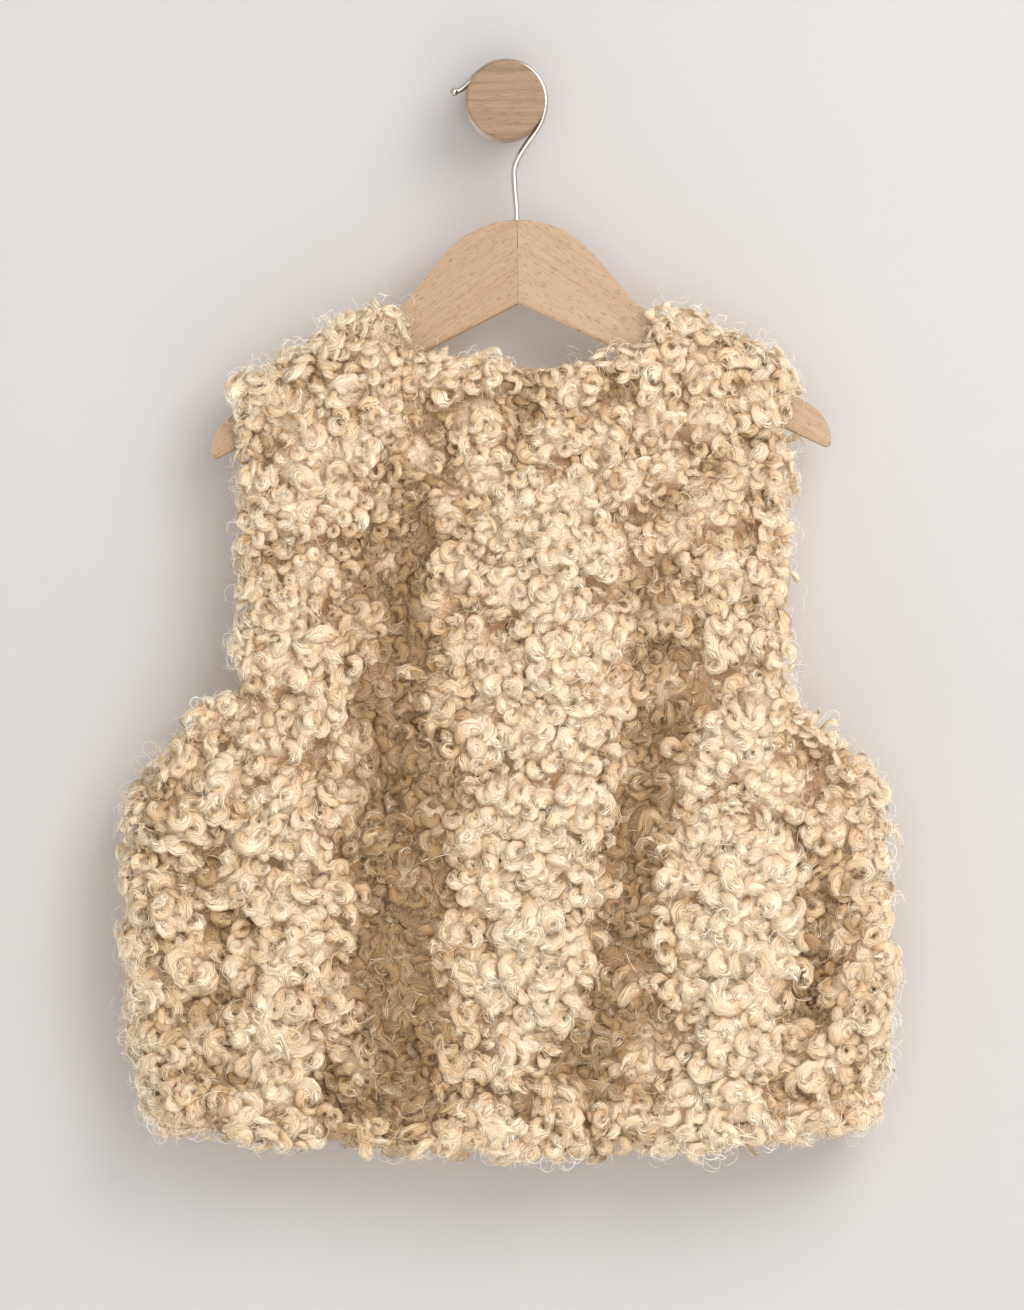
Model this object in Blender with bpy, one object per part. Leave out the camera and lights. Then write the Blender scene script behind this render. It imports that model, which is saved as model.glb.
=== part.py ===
"""A child's curly faux fur gilet on a beech hanger, hung by its wire hook on a round wooden wall peg.

Units are metres, with +Z up, +X to the right as seen from the room and +Y into the wall. The origin is the
centre of the peg's flat back face, on the wall. The gilet's back faces the room, along -Y.

Each panel of the gilet is one wall: the backing cloth, and the pile that stands on its outer side. The inner
face is a grid over the cut cloth, and the outer face is the same grid moved out by the pile's length. At a
cut edge the pile fans out over the edge. At a seam the cloth turns towards the other panel and meets it.
"""

import math
from collections import namedtuple

import bmesh
import bpy
import numpy as np
from mathutils import Matrix, Vector

# The layers between the wall and the room.
MID_Y = -0.044  # the plane of the hook, the hanger and the side seams
SEAM_GAP = 0.0003

# Wall peg, turned from one piece: a body, a neck that the hook lies on, and a head.
PEG_RADIUS = 0.0225
PEG_LENGTH = 0.063
PEG_NECK_RADIUS = 0.0198
PEG_NECK_HALF_WIDTH = 0.005
PEG_EDGE_ROUND = 0.0015
PEG_SEGMENTS = 48
PEG_ROUND_STEPS = 2

# Hook: one bent wire, with a ball on its free end.
WIRE_RADIUS = 0.00175
BALL_RADIUS = 0.0025
LOOP_RADIUS = 0.0222
LOOP_CENTRE_X = 0.0005
LOOP_FROM_DEG = 122
LOOP_TO_DEG = -14
WIRE_SIDES = 10
WIRE_RINGS = 48
BALL_RINGS = 5
BALL_START_ANGLE = 0.2
LOOP_ROUTE_POINTS = 12
ROUTE_STEPS = 12  # points of the curve between two points of the route
WIRE_SOCKET_DEPTH = 0.016

# Hanger: two boards, mitred at the centre.
HANGER_X = 0.0065
HANGER_TOP_Z = -0.0674
HANGER_TILT_DEG = 1.1  # the right arm hangs a little higher
HANGER_THICKNESS = 0.012
HANGER_EDGE_ROUND = 0.002
HANGER_HALF_LENGTH = 0.175
HANGER_DEPTH = 0.0477  # from the top of the crown down to the notch under it
ARM_UNDERSIDE_DEG = 26.1
CROWN_RADIUS = 0.055
CROWN_TURN_DEG = 50
CROWN_STEPS = 7
CROWN_STRAIGHT = 0.034
SHOULDER_RADIUS = 0.032
SHOULDER_STEPS = 4
ARM_TOP_DEG = 31
NOSE_RADIUS = 0.0235
NOSE_STEPS = 7
NOSE_END_DEG = 93
NOSE_CORNER_RADIUS = 0.0025
CORNER_STEPS = 3

# Gilet.
PILE = 0.015  # backing and pile together
NECK_LEFT = 0.083  # where the left shoulder seam ends, from the hanger's centre line
NECK_RIGHT = 0.092
NECK_TRANSITION = 0.004
SHOULDER_CLEARANCE = 0.0009
BACK_NECK_DEPTH = 0.0306
BACK_NECK_POWER = 3.0
FRONT_NECK_DEPTH = 0.110
FRONT_NECK_POWER = 1.6
UNDERARM_Z = -0.396
UNDERARM_BLEND = 0.014
SIDE_WRAP = 0.012
SHOULDER_WRAP = 0.005
EDGE_WRAP = 0.0025
SHOULDER_BOXINESS = 0.5
FOLD_FADE = 0.025
SECTION_EASE = 0.010

# The cut cloth, from the hem up: its edges on both sides of the hanger's centre line, and half the gap
# between the inner faces of the back and the fronts.
Section = namedtuple("Section", "z left right half_gap")
SECTIONS = (
    Section(-0.585, 0.1905, 0.1850, 0.0190),
    Section(-0.560, 0.1985, 0.1925, 0.0187),
    Section(-0.525, 0.2060, 0.1985, 0.0180),
    Section(-0.470, 0.2095, 0.1990, 0.0170),
    Section(-0.405, 0.2090, 0.1985, 0.0155),
    Section(-0.392, 0.2090, 0.1990, 0.0152),
    Section(-0.360, 0.1745, 0.1640, 0.0143),
    Section(-0.331, 0.1470, 0.1410, 0.0132),
    Section(-0.312, 0.1465, 0.1410, 0.0127),
    Section(-0.245, 0.1420, 0.1400, 0.0108),
    Section(-0.190, 0.1455, 0.1440, 0.0092),
    Section(-0.120, 0.1445, 0.1435, 0.0090),
)

# The hem's cut edge, by its share of the way from the centre to the side seam.
HemPoint = namedtuple("HemPoint", "share z")
HEM = (
    HemPoint(-1.00, -0.5700),
    HemPoint(-0.70, -0.5770),
    HemPoint(-0.25, -0.5825),
    HemPoint(0.15, -0.5840),
    HemPoint(0.60, -0.5790),
    HemPoint(1.00, -0.5700),
)

# The largest folds. Each runs through three points from the top down, and stands out from the panel by
# `rise`, or is sunk into it where rise is negative. A fold dies away over `fade` at both of its ends.
Fold = namedtuple("Fold", "top_x top_z mid_x mid_z low_x low_z width rise fade")
BACK_FOLDS = (
    Fold(-0.043, -0.160, -0.066, -0.390, -0.050, -0.620, 0.020, -0.0080, 0.110),
    Fold(0.090, -0.230, 0.077, -0.410, 0.025, -0.600, 0.018, -0.0055, 0.080),
    Fold(0.160, -0.400, 0.178, -0.474, 0.138, -0.560, 0.015, -0.0060, 0.040),
    Fold(-0.150, -0.400, -0.160, -0.480, -0.166, -0.620, 0.016, -0.0030, 0.060),
    Fold(-0.110, -0.500, -0.100, -0.555, -0.096, -0.640, 0.014, -0.0040, 0.050),
    Fold(0.024, -0.170, 0.028, -0.350, 0.004, -0.560, 0.030, 0.0050, 0.080),
    Fold(0.128, -0.320, 0.134, -0.430, 0.110, -0.620, 0.024, 0.0065, 0.070),
)
FRONT_FOLDS = (
    Fold(-0.100, -0.250, -0.092, -0.420, -0.110, -0.640, 0.022, -0.0045, 0.090),
    Fold(-0.040, -0.330, -0.052, -0.450, -0.046, -0.640, 0.018, 0.0030, 0.080),
    Fold(0.112, -0.260, 0.098, -0.430, 0.116, -0.640, 0.020, -0.0050, 0.090),
    Fold(0.058, -0.340, 0.062, -0.460, 0.050, -0.640, 0.020, 0.0030, 0.080),
    Fold(0.160, -0.420, 0.166, -0.500, 0.158, -0.640, 0.018, 0.0025, 0.060),
)

# How finely the cloth is divided.
WRAP_ANGLES = tuple(math.radians(a) for a in (60, 30, 0))  # the last steps up to an edge
NECK_COLUMNS = 8  # from the centre line to the side of the neck
SHOULDER_COLUMNS = 5  # from the side of the neck to the shoulder's end
BODY_ROWS = 25

COLOURS = {
    "fur": (0.56, 0.42, 0.26),
    "beech": (0.62, 0.40, 0.23),
    "steel": (0.60, 0.58, 0.55),
}


def clear_scene():
    for obj in list(bpy.data.objects):
        bpy.data.objects.remove(obj, do_unlink=True)


def material(name, colour, roughness, metallic=0.0):
    made = bpy.data.materials.new(name)
    made.use_nodes = True
    shader = made.node_tree.nodes["Principled BSDF"]
    shader.inputs["Base Color"].default_value = (*colour, 1.0)
    shader.inputs["Roughness"].default_value = roughness
    shader.inputs["Metallic"].default_value = metallic
    return made


def smooth(t):
    t = np.clip(t, 0.0, 1.0)
    return t * t * (3.0 - 2.0 * t)


def tube(rings):
    """A closed skin through rings of equally many points, with flat ends."""
    bm = bmesh.new()
    loops = [[bm.verts.new(Vector(point)) for point in ring] for ring in rings]
    for near, far in zip(loops, loops[1:]):
        for start, end, far_end, far_start in zip(near, near[1:] + near[:1], far[1:] + far[:1], far):
            bm.faces.new((start, end, far_end, far_start))
    bm.faces.new(loops[0])
    bm.faces.new(loops[-1][::-1])
    return bm


def finish_mesh(name, bm, surface, smooth_angle=math.radians(35)):
    bmesh.ops.recalc_face_normals(bm, faces=bm.faces)
    mesh = bpy.data.meshes.new(name)
    bm.to_mesh(mesh)
    bm.free()
    mesh.shade_smooth()
    mesh.set_sharp_from_angle(angle=smooth_angle)
    mesh.materials.append(surface)
    obj = bpy.data.objects.new(name, mesh)
    bpy.context.scene.collection.objects.link(obj)
    return obj


# ---- Peg ----------------------------------------------------------------------------------------------


def edge_round(radius, y, way):
    """The round on an outer edge of the peg at y, whose end face looks along `way`, as (radius, y) points."""
    centre_radius = radius - PEG_EDGE_ROUND
    centre_y = y - way * PEG_EDGE_ROUND
    angles = np.linspace(0, math.pi / 2, PEG_ROUND_STEPS + 1)
    return [
        (centre_radius + PEG_EDGE_ROUND * math.cos(angle), centre_y + way * PEG_EDGE_ROUND * math.sin(angle))
        for angle in angles
    ]


def build_peg(surface):
    neck_back = MID_Y + PEG_NECK_HALF_WIDTH
    neck_front = MID_Y - PEG_NECK_HALF_WIDTH
    profile = [(PEG_RADIUS, 0.0)]
    profile += edge_round(PEG_RADIUS, neck_back, -1)
    profile += [(PEG_NECK_RADIUS, neck_back), (PEG_NECK_RADIUS, neck_front)]
    profile += edge_round(PEG_RADIUS, neck_front, 1)[::-1]
    profile += edge_round(PEG_RADIUS, -PEG_LENGTH, -1)
    angles = 2 * math.pi * np.arange(PEG_SEGMENTS) / PEG_SEGMENTS
    rings = []
    for radius, y in profile:
        level = np.full(PEG_SEGMENTS, y)
        rings.append(np.column_stack([radius * np.cos(angles), level, radius * np.sin(angles)]))
    return finish_mesh("wall_peg", tube(rings), surface)


# ---- Hook ---------------------------------------------------------------------------------------------


def smooth_route(route):
    """Close points along a smooth curve through the route's own points, and their distances along it."""
    ends = [2 * route[0] - route[1], *route, 2 * route[-1] - route[-2]]
    points = []
    for a, b, c, d in zip(ends, ends[1:], ends[2:], ends[3:]):
        for t in np.linspace(0, 1, ROUTE_STEPS, endpoint=False):
            bend = (2 * a - 5 * b + 4 * c - d) * t**2 + (3 * b - a - 3 * c + d) * t**3
            points.append(b + 0.5 * ((c - a) * t + bend))
    points = np.array([*points, route[-1]])
    steps = np.linalg.norm(np.diff(points, axis=0), axis=1)
    return points, np.concatenate([[0], np.cumsum(steps)])


def hook_route():
    """The wire's centre line in X and Z, from its ball, over the peg's neck and down into the hanger."""
    route = [(-0.0314, 0.0043), (-0.0285, 0.0051), (-0.0256, 0.0062), (-0.0218, 0.0090), (-0.0166, 0.0146)]
    for angle in np.radians(np.linspace(LOOP_FROM_DEG, LOOP_TO_DEG, LOOP_ROUTE_POINTS)):
        route.append((LOOP_CENTRE_X + LOOP_RADIUS * math.cos(angle), LOOP_RADIUS * math.sin(angle)))
    route += [(0.0203, -0.0115), (0.0170, -0.0175), (0.0122, -0.0243), (0.0077, -0.0315), (0.0052, -0.0378)]
    route += [(0.0050, -0.0440), (0.0055, -0.0520), (0.0062, -0.0600), (HANGER_X, HANGER_TOP_Z)]
    route.append((HANGER_X, HANGER_TOP_Z - WIRE_SOCKET_DEPTH))
    return [np.array(point) for point in route]


def build_hook(surface):
    """A tube along the route. Its first stretch swells to the ball, as far round as the wire leaves it."""
    line, distance = smooth_route(hook_route())
    leaves = math.pi - math.asin(WIRE_RADIUS / BALL_RADIUS)
    around = np.linspace(BALL_START_ANGLE, leaves, BALL_RINGS)
    ball_end = BALL_RADIUS * (1 - math.cos(leaves))
    after_ball = np.linspace(ball_end, distance[-1], WIRE_RINGS)[1:]
    along = np.concatenate([BALL_RADIUS * (1 - np.cos(around)), after_ball])
    radii = np.concatenate([BALL_RADIUS * np.sin(around), np.full(len(after_ball), WIRE_RADIUS)])
    points = np.column_stack([np.interp(along, distance, line[:, axis]) for axis in range(2)])
    tangents = np.gradient(points, axis=0)
    tangents /= np.linalg.norm(tangents, axis=1)[:, None]
    angles = 2 * math.pi * np.arange(WIRE_SIDES) / WIRE_SIDES
    rings = []
    for (x, z), (along_x, along_z), radius in zip(points, tangents, radii):
        side = radius * np.cos(angles)
        depth = MID_Y + radius * np.sin(angles)
        rings.append(np.column_stack([x - along_z * side, depth, z + along_x * side]))
    return finish_mesh("hook", tube(rings), surface)


# ---- Hanger -------------------------------------------------------------------------------------------


def arc(points, heading, radius, turn_deg, steps):
    """Adds an arc to an outline in X and Z. A negative turn bends downwards. Returns the new heading."""
    x, z = points[-1]
    side = 1 if turn_deg > 0 else -1
    centre = (x - side * radius * math.sin(heading), z + side * radius * math.cos(heading))
    for step in range(1, steps + 1):
        angle = heading + math.radians(turn_deg) * step / steps
        out = centre[0] + side * radius * math.sin(angle)
        up = centre[1] - side * radius * math.cos(angle)
        points.append((out, up))
    return heading + math.radians(turn_deg)


def straight(points, heading, length):
    x, z = points[-1]
    points.append((x + length * math.cos(heading), z + length * math.sin(heading)))


def arm_top():
    """The top edge as an outline from the crown to the nose, its heading there, and where its arm starts."""
    points = [(0.0, 0.0)]
    heading = arc(points, 0.0, CROWN_RADIUS, -CROWN_TURN_DEG, CROWN_STEPS)
    straight(points, heading, CROWN_STRAIGHT)
    heading = arc(points, heading, SHOULDER_RADIUS, CROWN_TURN_DEG - ARM_TOP_DEG, SHOULDER_STEPS)
    arm_start = points[-1]
    nose_reach = NOSE_RADIUS * (1 - math.sin(math.radians(ARM_TOP_DEG)))
    straight(points, heading, (HANGER_HALF_LENGTH - nose_reach - arm_start[0]) / math.cos(heading))
    return points, heading, arm_start


def underside(out):
    return -HANGER_DEPTH - out * math.tan(math.radians(ARM_UNDERSIDE_DEG))


def hanger_outline():
    """One half's outline, from the top of the crown along its top edge, its nose and its underside."""
    points, heading, _ = arm_top()
    heading = arc(points, heading, NOSE_RADIUS, -(NOSE_END_DEG - ARM_TOP_DEG), NOSE_STEPS)
    # A small round joins the nose to the straight underside.
    turn_deg = 180 - NOSE_END_DEG + ARM_UNDERSIDE_DEG
    inset = NOSE_CORNER_RADIUS * math.tan(math.radians(turn_deg) / 2)
    nose_end_out, nose_end_up = points[-1]
    straight(points, heading, nose_end_up - underside(nose_end_out) - inset)
    arc(points, heading, NOSE_CORNER_RADIUS, -turn_deg, CORNER_STEPS)
    points.append((0.0, -HANGER_DEPTH))
    return points


def tilted(out, up, side):
    """A point of the hanger in X and Z, turned about the top of its crown."""
    angle = math.radians(HANGER_TILT_DEG)
    across = side * out
    return (
        HANGER_X + across * math.cos(angle) - up * math.sin(angle),
        HANGER_TOP_Z + across * math.sin(angle) + up * math.cos(angle),
    )


def build_hanger_half(name, side, surface, socket):
    half = HANGER_THICKNESS / 2
    bm = bmesh.new()
    outline = [(side * max(out, SEAM_GAP / 2), up) for out, up in hanger_outline()]
    front = [bm.verts.new((x, -half, z)) for x, z in outline]
    back = [bm.verts.new((x, half, z)) for x, z in outline]
    bm.faces.new(front)
    bm.faces.new(back[::-1])
    for a, b, c, d in zip(front, back, back[1:] + back[:1], front[1:] + front[:1]):
        bm.faces.new((a, b, c, d))
    # Every edge of the two faces is rounded, but for the mitre.
    rim = []
    for edge in bm.edges:
        a, b = (vert.co for vert in edge.verts)
        if abs(a.y - b.y) < half and max(abs(a.x), abs(b.x)) > SEAM_GAP:
            rim.append(edge)
    bmesh.ops.bevel(bm, geom=rim, offset=HANGER_EDGE_ROUND, segments=2, profile=0.5, affect="EDGES")
    turn = Matrix.Rotation(-math.radians(HANGER_TILT_DEG), 4, "Y")
    place = Matrix.Translation((HANGER_X, MID_Y, HANGER_TOP_Z)) @ turn
    bmesh.ops.transform(bm, matrix=place, verts=bm.verts)
    obj = finish_mesh(name, bm, surface)
    cut = obj.modifiers.new("socket", "BOOLEAN")
    cut.object = socket
    cut.operation = "DIFFERENCE"
    cut.solver = "EXACT"
    return obj


def build_socket_cutter():
    """The hole that the hook's wire is screwed into, half in each board."""
    radius = (WIRE_RADIUS + SEAM_GAP) / math.cos(math.pi / WIRE_SIDES)
    bm = bmesh.new()
    bmesh.ops.create_cone(
        bm,
        cap_ends=True,
        segments=WIRE_SIDES,
        radius1=radius,
        radius2=radius,
        depth=2 * (WIRE_SOCKET_DEPTH + SEAM_GAP),
        matrix=Matrix.Translation((HANGER_X, MID_Y, HANGER_TOP_Z)),
    )
    mesh = bpy.data.meshes.new("socket_cutter")
    bm.to_mesh(mesh)
    bm.free()
    cutter = bpy.data.objects.new("socket_cutter", mesh)
    bpy.context.scene.collection.objects.link(cutter)
    cutter.hide_render = True
    cutter.display_type = "WIRE"
    return cutter


# ---- Gilet --------------------------------------------------------------------------------------------


def column_of(rows, name):
    return np.array([getattr(row, name) for row in rows])


def section_at(z, name):
    """A column of the sections table at height z, eased over a short stretch so that no corner is sharp."""
    offsets = np.linspace(-SECTION_EASE, SECTION_EASE, 5)
    heights, values = column_of(SECTIONS, "z"), column_of(SECTIONS, name)
    return sum(np.interp(z + offset, heights, values) for offset in offsets) / len(offsets)


def across_hanger(x, points):
    """Height at x of the line through these (out, up) points of one half and their mirror images."""
    ends = [tilted(out, up, -1) for out, up in reversed(points)]
    ends += [tilted(out, up, 1) for out, up in points]
    return np.interp(x, [end[0] for end in ends], [end[1] for end in ends])


def seam_line(x):
    points, _, arm_start = arm_top()
    return across_hanger(x, [arm_start, points[-1]])


def underside_line(x):
    return across_hanger(x, [(0.0, underside(0.0)), (HANGER_HALF_LENGTH, underside(HANGER_HALF_LENGTH))])


def top_line(x, neck_depth, neck_power):
    """The cloth's top edge: along the hanger's arms, and scooped out between them."""
    ends = HANGER_X - NECK_LEFT + NECK_TRANSITION, HANGER_X + NECK_RIGHT - NECK_TRANSITION
    centre = sum(ends) / 2
    inside = np.clip(np.abs(x - centre) / (ends[1] - centre), 0, 1)
    scoop = neck_depth * (1 - inside**neck_power) ** (1 / neck_power)
    level = np.interp(x, ends, seam_line(ends))
    height = np.where(inside < 1, level, seam_line(x))
    return height + SHOULDER_CLEARANCE - scoop


def fold_height(x, z, folds):
    """How far the folds move a panel out at each point."""
    total = np.zeros_like(x)
    for fold in folds:
        route_z = [fold.low_z, fold.mid_z, fold.top_z]
        curve = np.polyfit(route_z, [fold.low_x, fold.mid_x, fold.top_x], 2)
        away = (x - np.polyval(curve, z)) / fold.width
        ends = smooth((fold.top_z - z) / fold.fade) * smooth((z - fold.low_z) / fold.fade)
        total += fold.rise * np.exp(-(away**2)) * ends
    return total


def half_columns(side_name):
    """Columns from the centre line to the side: (share of the flat stretch, wrap angle)."""
    flat = section_at(0.0, side_name) - EDGE_WRAP
    neck = (NECK_LEFT if side_name == "left" else NECK_RIGHT) / flat
    shares = list(np.linspace(0, neck - NECK_TRANSITION / flat, NECK_COLUMNS + 1))
    shares += list(np.linspace(neck, 1, SHOULDER_COLUMNS + 1))
    columns = [(share, math.pi / 2) for share in shares]
    columns += [(1.0, angle) for angle in WRAP_ANGLES]
    return columns


def panel_columns(sides):
    """(side, share, angle) of each column from left to right, for a panel on one or both sides."""
    columns = []
    if -1 in sides:
        columns += [(-1, share, angle) for share, angle in reversed(half_columns("left"))]
    if 1 in sides:
        right = half_columns("right")
        if -1 in sides:
            right = right[1:]
        columns += [(1, share, angle) for share, angle in right]
    return columns


def panel_rows():
    """(share of the flat stretch, angle at the hem, angle at the top) of each row, from the hem up."""
    quarter = math.pi / 2
    rows = [(0.0, angle, quarter) for angle in reversed(WRAP_ANGLES)]
    rows += [(share, quarter, quarter) for share in np.linspace(0, 1, BODY_ROWS)]
    rows += [(1.0, quarter, angle) for angle in WRAP_ANGLES]
    return rows


def outward(points, along_axis, reference):
    """Unit vectors in X and Z across a border line, on the side of `reference`."""
    along = np.gradient(points, axis=along_axis)
    across = np.stack([-along[..., 1], along[..., 0]], axis=-1)
    across /= np.linalg.norm(across, axis=-1, keepdims=True)
    facing = np.sign((across * reference).sum(axis=-1, keepdims=True))
    return across * facing


def panel_grid(columns, facing, neck_depth, neck_power, folds, butt_at_centre):
    """Inner and outer grids of one panel, as arrays of rows by columns by XYZ."""
    rows = panel_rows()
    side = np.array([c[0] for c in columns])[None, :]
    share = np.array([c[1] for c in columns])[None, :]
    side_angle = np.array([c[2] for c in columns])[None, :]
    rise = np.array([r[0] for r in rows])[:, None]
    hem_angle = np.array([r[1] for r in rows])[:, None]
    top_angle = np.array([r[2] for r in rows])[:, None]

    # Heights. The top and hem edges are read where each column ends.
    top_half = np.where(side < 0, section_at(0.0, "left"), section_at(0.0, "right"))
    top_x = HANGER_X + side * ((top_half - EDGE_WRAP) * share + EDGE_WRAP * np.cos(side_angle))
    top_z = top_line(top_x, neck_depth, neck_power)
    hem_z = np.interp(side * share, column_of(HEM, "share"), column_of(HEM, "z"))
    neck_half_width = np.where(side < 0, NECK_LEFT, NECK_RIGHT)
    on_shoulder = np.abs(top_x - HANGER_X) > neck_half_width - NECK_TRANSITION / 2
    top_wrap = np.where(on_shoulder, SHOULDER_WRAP, EDGE_WRAP)
    low = hem_z + EDGE_WRAP
    high = top_z - top_wrap
    z = low + rise * (high - low) - EDGE_WRAP * np.cos(hem_angle) + top_wrap * np.cos(top_angle)

    # Widths, with the seam's wrap below the underarm and the cut edge's above it.
    seamed = smooth((UNDERARM_Z - z) / UNDERARM_BLEND + 0.5)
    side_wrap = EDGE_WRAP + seamed * (SIDE_WRAP - EDGE_WRAP)
    half_width = np.where(side < 0, section_at(z, "left"), section_at(z, "right"))
    x = HANGER_X + side * ((half_width - side_wrap) * share + side_wrap * np.cos(side_angle))
    if butt_at_centre:
        x = np.where(share == 0, x + side * SEAM_GAP / 2, x)

    # Depth from the middle plane, closing to nothing at the seams.
    open_side = 1 - seamed * (1 - np.sin(side_angle))
    open_top = 1 - on_shoulder * (1 - np.sin(top_angle) ** SHOULDER_BOXINESS)
    below_hanger = smooth((underside_line(x) - z) / FOLD_FADE)
    depth = section_at(z, "half_gap") + fold_height(x, z, folds) * below_hanger
    depth = SEAM_GAP / 2 + depth * open_side * open_top

    # Directions in which the pile stands.
    border = np.stack([x, z], axis=-1)
    lean = np.zeros_like(border)
    for last_column, direction in ((0, -1), (-1, 1)):
        here = (side == direction) & (side_angle < math.pi / 2)
        if not here.any():
            continue
        edge = outward(border[:, last_column], 0, np.array([direction, 0.0]))
        lean += edge[:, None, :] * (np.cos(side_angle) * here)[..., None]
    lean += outward(border[-1], 0, np.array([0.0, 1.0]))[None] * np.cos(top_angle)[..., None]
    lean += outward(border[0], 0, np.array([0.0, -1.0]))[None] * np.cos(hem_angle)[..., None]
    if butt_at_centre:
        lean[..., 0] = np.where(share == 0, 0.0, lean[..., 0])
    length = np.linalg.norm(lean, axis=-1, keepdims=True)
    lean = lean / np.maximum(length, 1.0)
    stand = np.sqrt(np.clip(1 - (lean**2).sum(axis=-1), 0, 1))

    inner = np.stack([x, MID_Y + facing * depth, z], axis=-1)
    outer = inner + PILE * np.stack([lean[..., 0], facing * stand, lean[..., 1]], axis=-1)
    return inner, outer


def build_panel(name, surface, grid):
    """Closes an inner and an outer grid into one wall."""
    inner, outer = grid
    rows, columns = inner.shape[:2]
    bm = bmesh.new()
    layers = []
    for layer in (inner, outer):
        layers.append([[bm.verts.new(Vector(point)) for point in row] for row in layer])
    for layer in layers:
        for i in range(rows - 1):
            for j in range(columns - 1):
                bm.faces.new((layer[i][j], layer[i][j + 1], layer[i + 1][j + 1], layer[i + 1][j]))
    border = [(0, j) for j in range(columns)]
    border += [(i, columns - 1) for i in range(1, rows)]
    border += [(rows - 1, j) for j in range(columns - 2, -1, -1)]
    border += [(i, 0) for i in range(rows - 2, 0, -1)]
    for (i, j), (m, n) in zip(border, border[1:] + border[:1]):
        bm.faces.new((layers[0][i][j], layers[0][m][n], layers[1][m][n], layers[1][i][j]))
    return finish_mesh(name, bm, surface, math.radians(60))


def build_gilet(surface):
    back = panel_grid(panel_columns((-1, 1)), -1, BACK_NECK_DEPTH, BACK_NECK_POWER, BACK_FOLDS, False)
    build_panel("back_panel", surface, back)
    for name, side in (("front_left", -1), ("front_right", 1)):
        grid = panel_grid(panel_columns((side,)), 1, FRONT_NECK_DEPTH, FRONT_NECK_POWER, FRONT_FOLDS, True)
        build_panel(name, surface, grid)


def main():
    clear_scene()
    fur = material("fur", COLOURS["fur"], 0.85)
    hanger_beech = material("hanger_beech", COLOURS["beech"], 0.55)
    peg_beech = material("peg_beech", COLOURS["beech"], 0.60)
    steel = material("steel", COLOURS["steel"], 0.30, 1.0)
    build_peg(peg_beech)
    build_hook(steel)
    socket = build_socket_cutter()
    build_hanger_half("hanger_left", -1, hanger_beech, socket)
    build_hanger_half("hanger_right", 1, hanger_beech, socket)
    build_gilet(fur)


main()
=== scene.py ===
# The looks of a child's curly faux fur gilet that hangs, back to the room, on a beech hanger and a peg.
#
# Units are metres, in the frame of the CAD model: +Z up, +X to the right as seen from the room, +Y into the
# wall, and the origin in the middle of the peg's back face. Each panel of the gilet is one thin cloth, the
# backing with its dense undercoat, and more than a thousand curled locks that are rooted in it. The cloth's
# form is worked out as in the CAD source: an inner grid over the cut cloth, and the direction in which the
# pile stands at each place of it.
import math
from collections import namedtuple
from itertools import product

import bmesh
import bpy
import numpy as np
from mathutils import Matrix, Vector, kdtree


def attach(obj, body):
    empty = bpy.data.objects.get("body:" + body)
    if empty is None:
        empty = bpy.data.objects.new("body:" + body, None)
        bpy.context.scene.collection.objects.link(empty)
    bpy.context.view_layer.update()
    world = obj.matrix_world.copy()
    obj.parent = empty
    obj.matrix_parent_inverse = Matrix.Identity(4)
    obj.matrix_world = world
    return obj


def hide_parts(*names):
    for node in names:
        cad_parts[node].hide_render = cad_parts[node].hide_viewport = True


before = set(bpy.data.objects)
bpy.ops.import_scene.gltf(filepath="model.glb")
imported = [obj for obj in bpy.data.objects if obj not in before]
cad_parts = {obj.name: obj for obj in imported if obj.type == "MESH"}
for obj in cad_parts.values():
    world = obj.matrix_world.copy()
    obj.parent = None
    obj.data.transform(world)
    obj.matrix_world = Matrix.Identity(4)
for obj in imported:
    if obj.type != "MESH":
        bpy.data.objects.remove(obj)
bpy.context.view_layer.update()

# ---- The gilet's form, as in the CAD source ----

MID_Y = -0.044  # the plane of the hanger and of the side seams
SEAM_GAP = 0.0003
HANGER_X = 0.0065
HANGER_TOP_Z = -0.0674
HANGER_TILT_DEG = 1.1
HANGER_THICKNESS = 0.012
HANGER_HALF_LENGTH = 0.175
HANGER_DEPTH = 0.0477
ARM_UNDERSIDE_DEG = 26.1
CROWN_RADIUS = 0.055
CROWN_TURN_DEG = 50
CROWN_STEPS = 7
CROWN_STRAIGHT = 0.034
SHOULDER_RADIUS = 0.032
SHOULDER_STEPS = 4
ARM_TOP_DEG = 31
NOSE_RADIUS = 0.0235

PILE = 0.015
NECK_LEFT = 0.083
NECK_RIGHT = 0.092
NECK_TRANSITION = 0.004
SHOULDER_CLEARANCE = 0.0009
BACK_NECK_DEPTH = 0.0306
BACK_NECK_POWER = 3.0
FRONT_NECK_DEPTH = 0.110
FRONT_NECK_POWER = 1.6
UNDERARM_Z = -0.396
UNDERARM_BLEND = 0.014
SIDE_WRAP = 0.012
SHOULDER_WRAP = 0.005
EDGE_WRAP = 0.0025
SHOULDER_BOXINESS = 0.5
FOLD_FADE = 0.025
SECTION_EASE = 0.010

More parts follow.
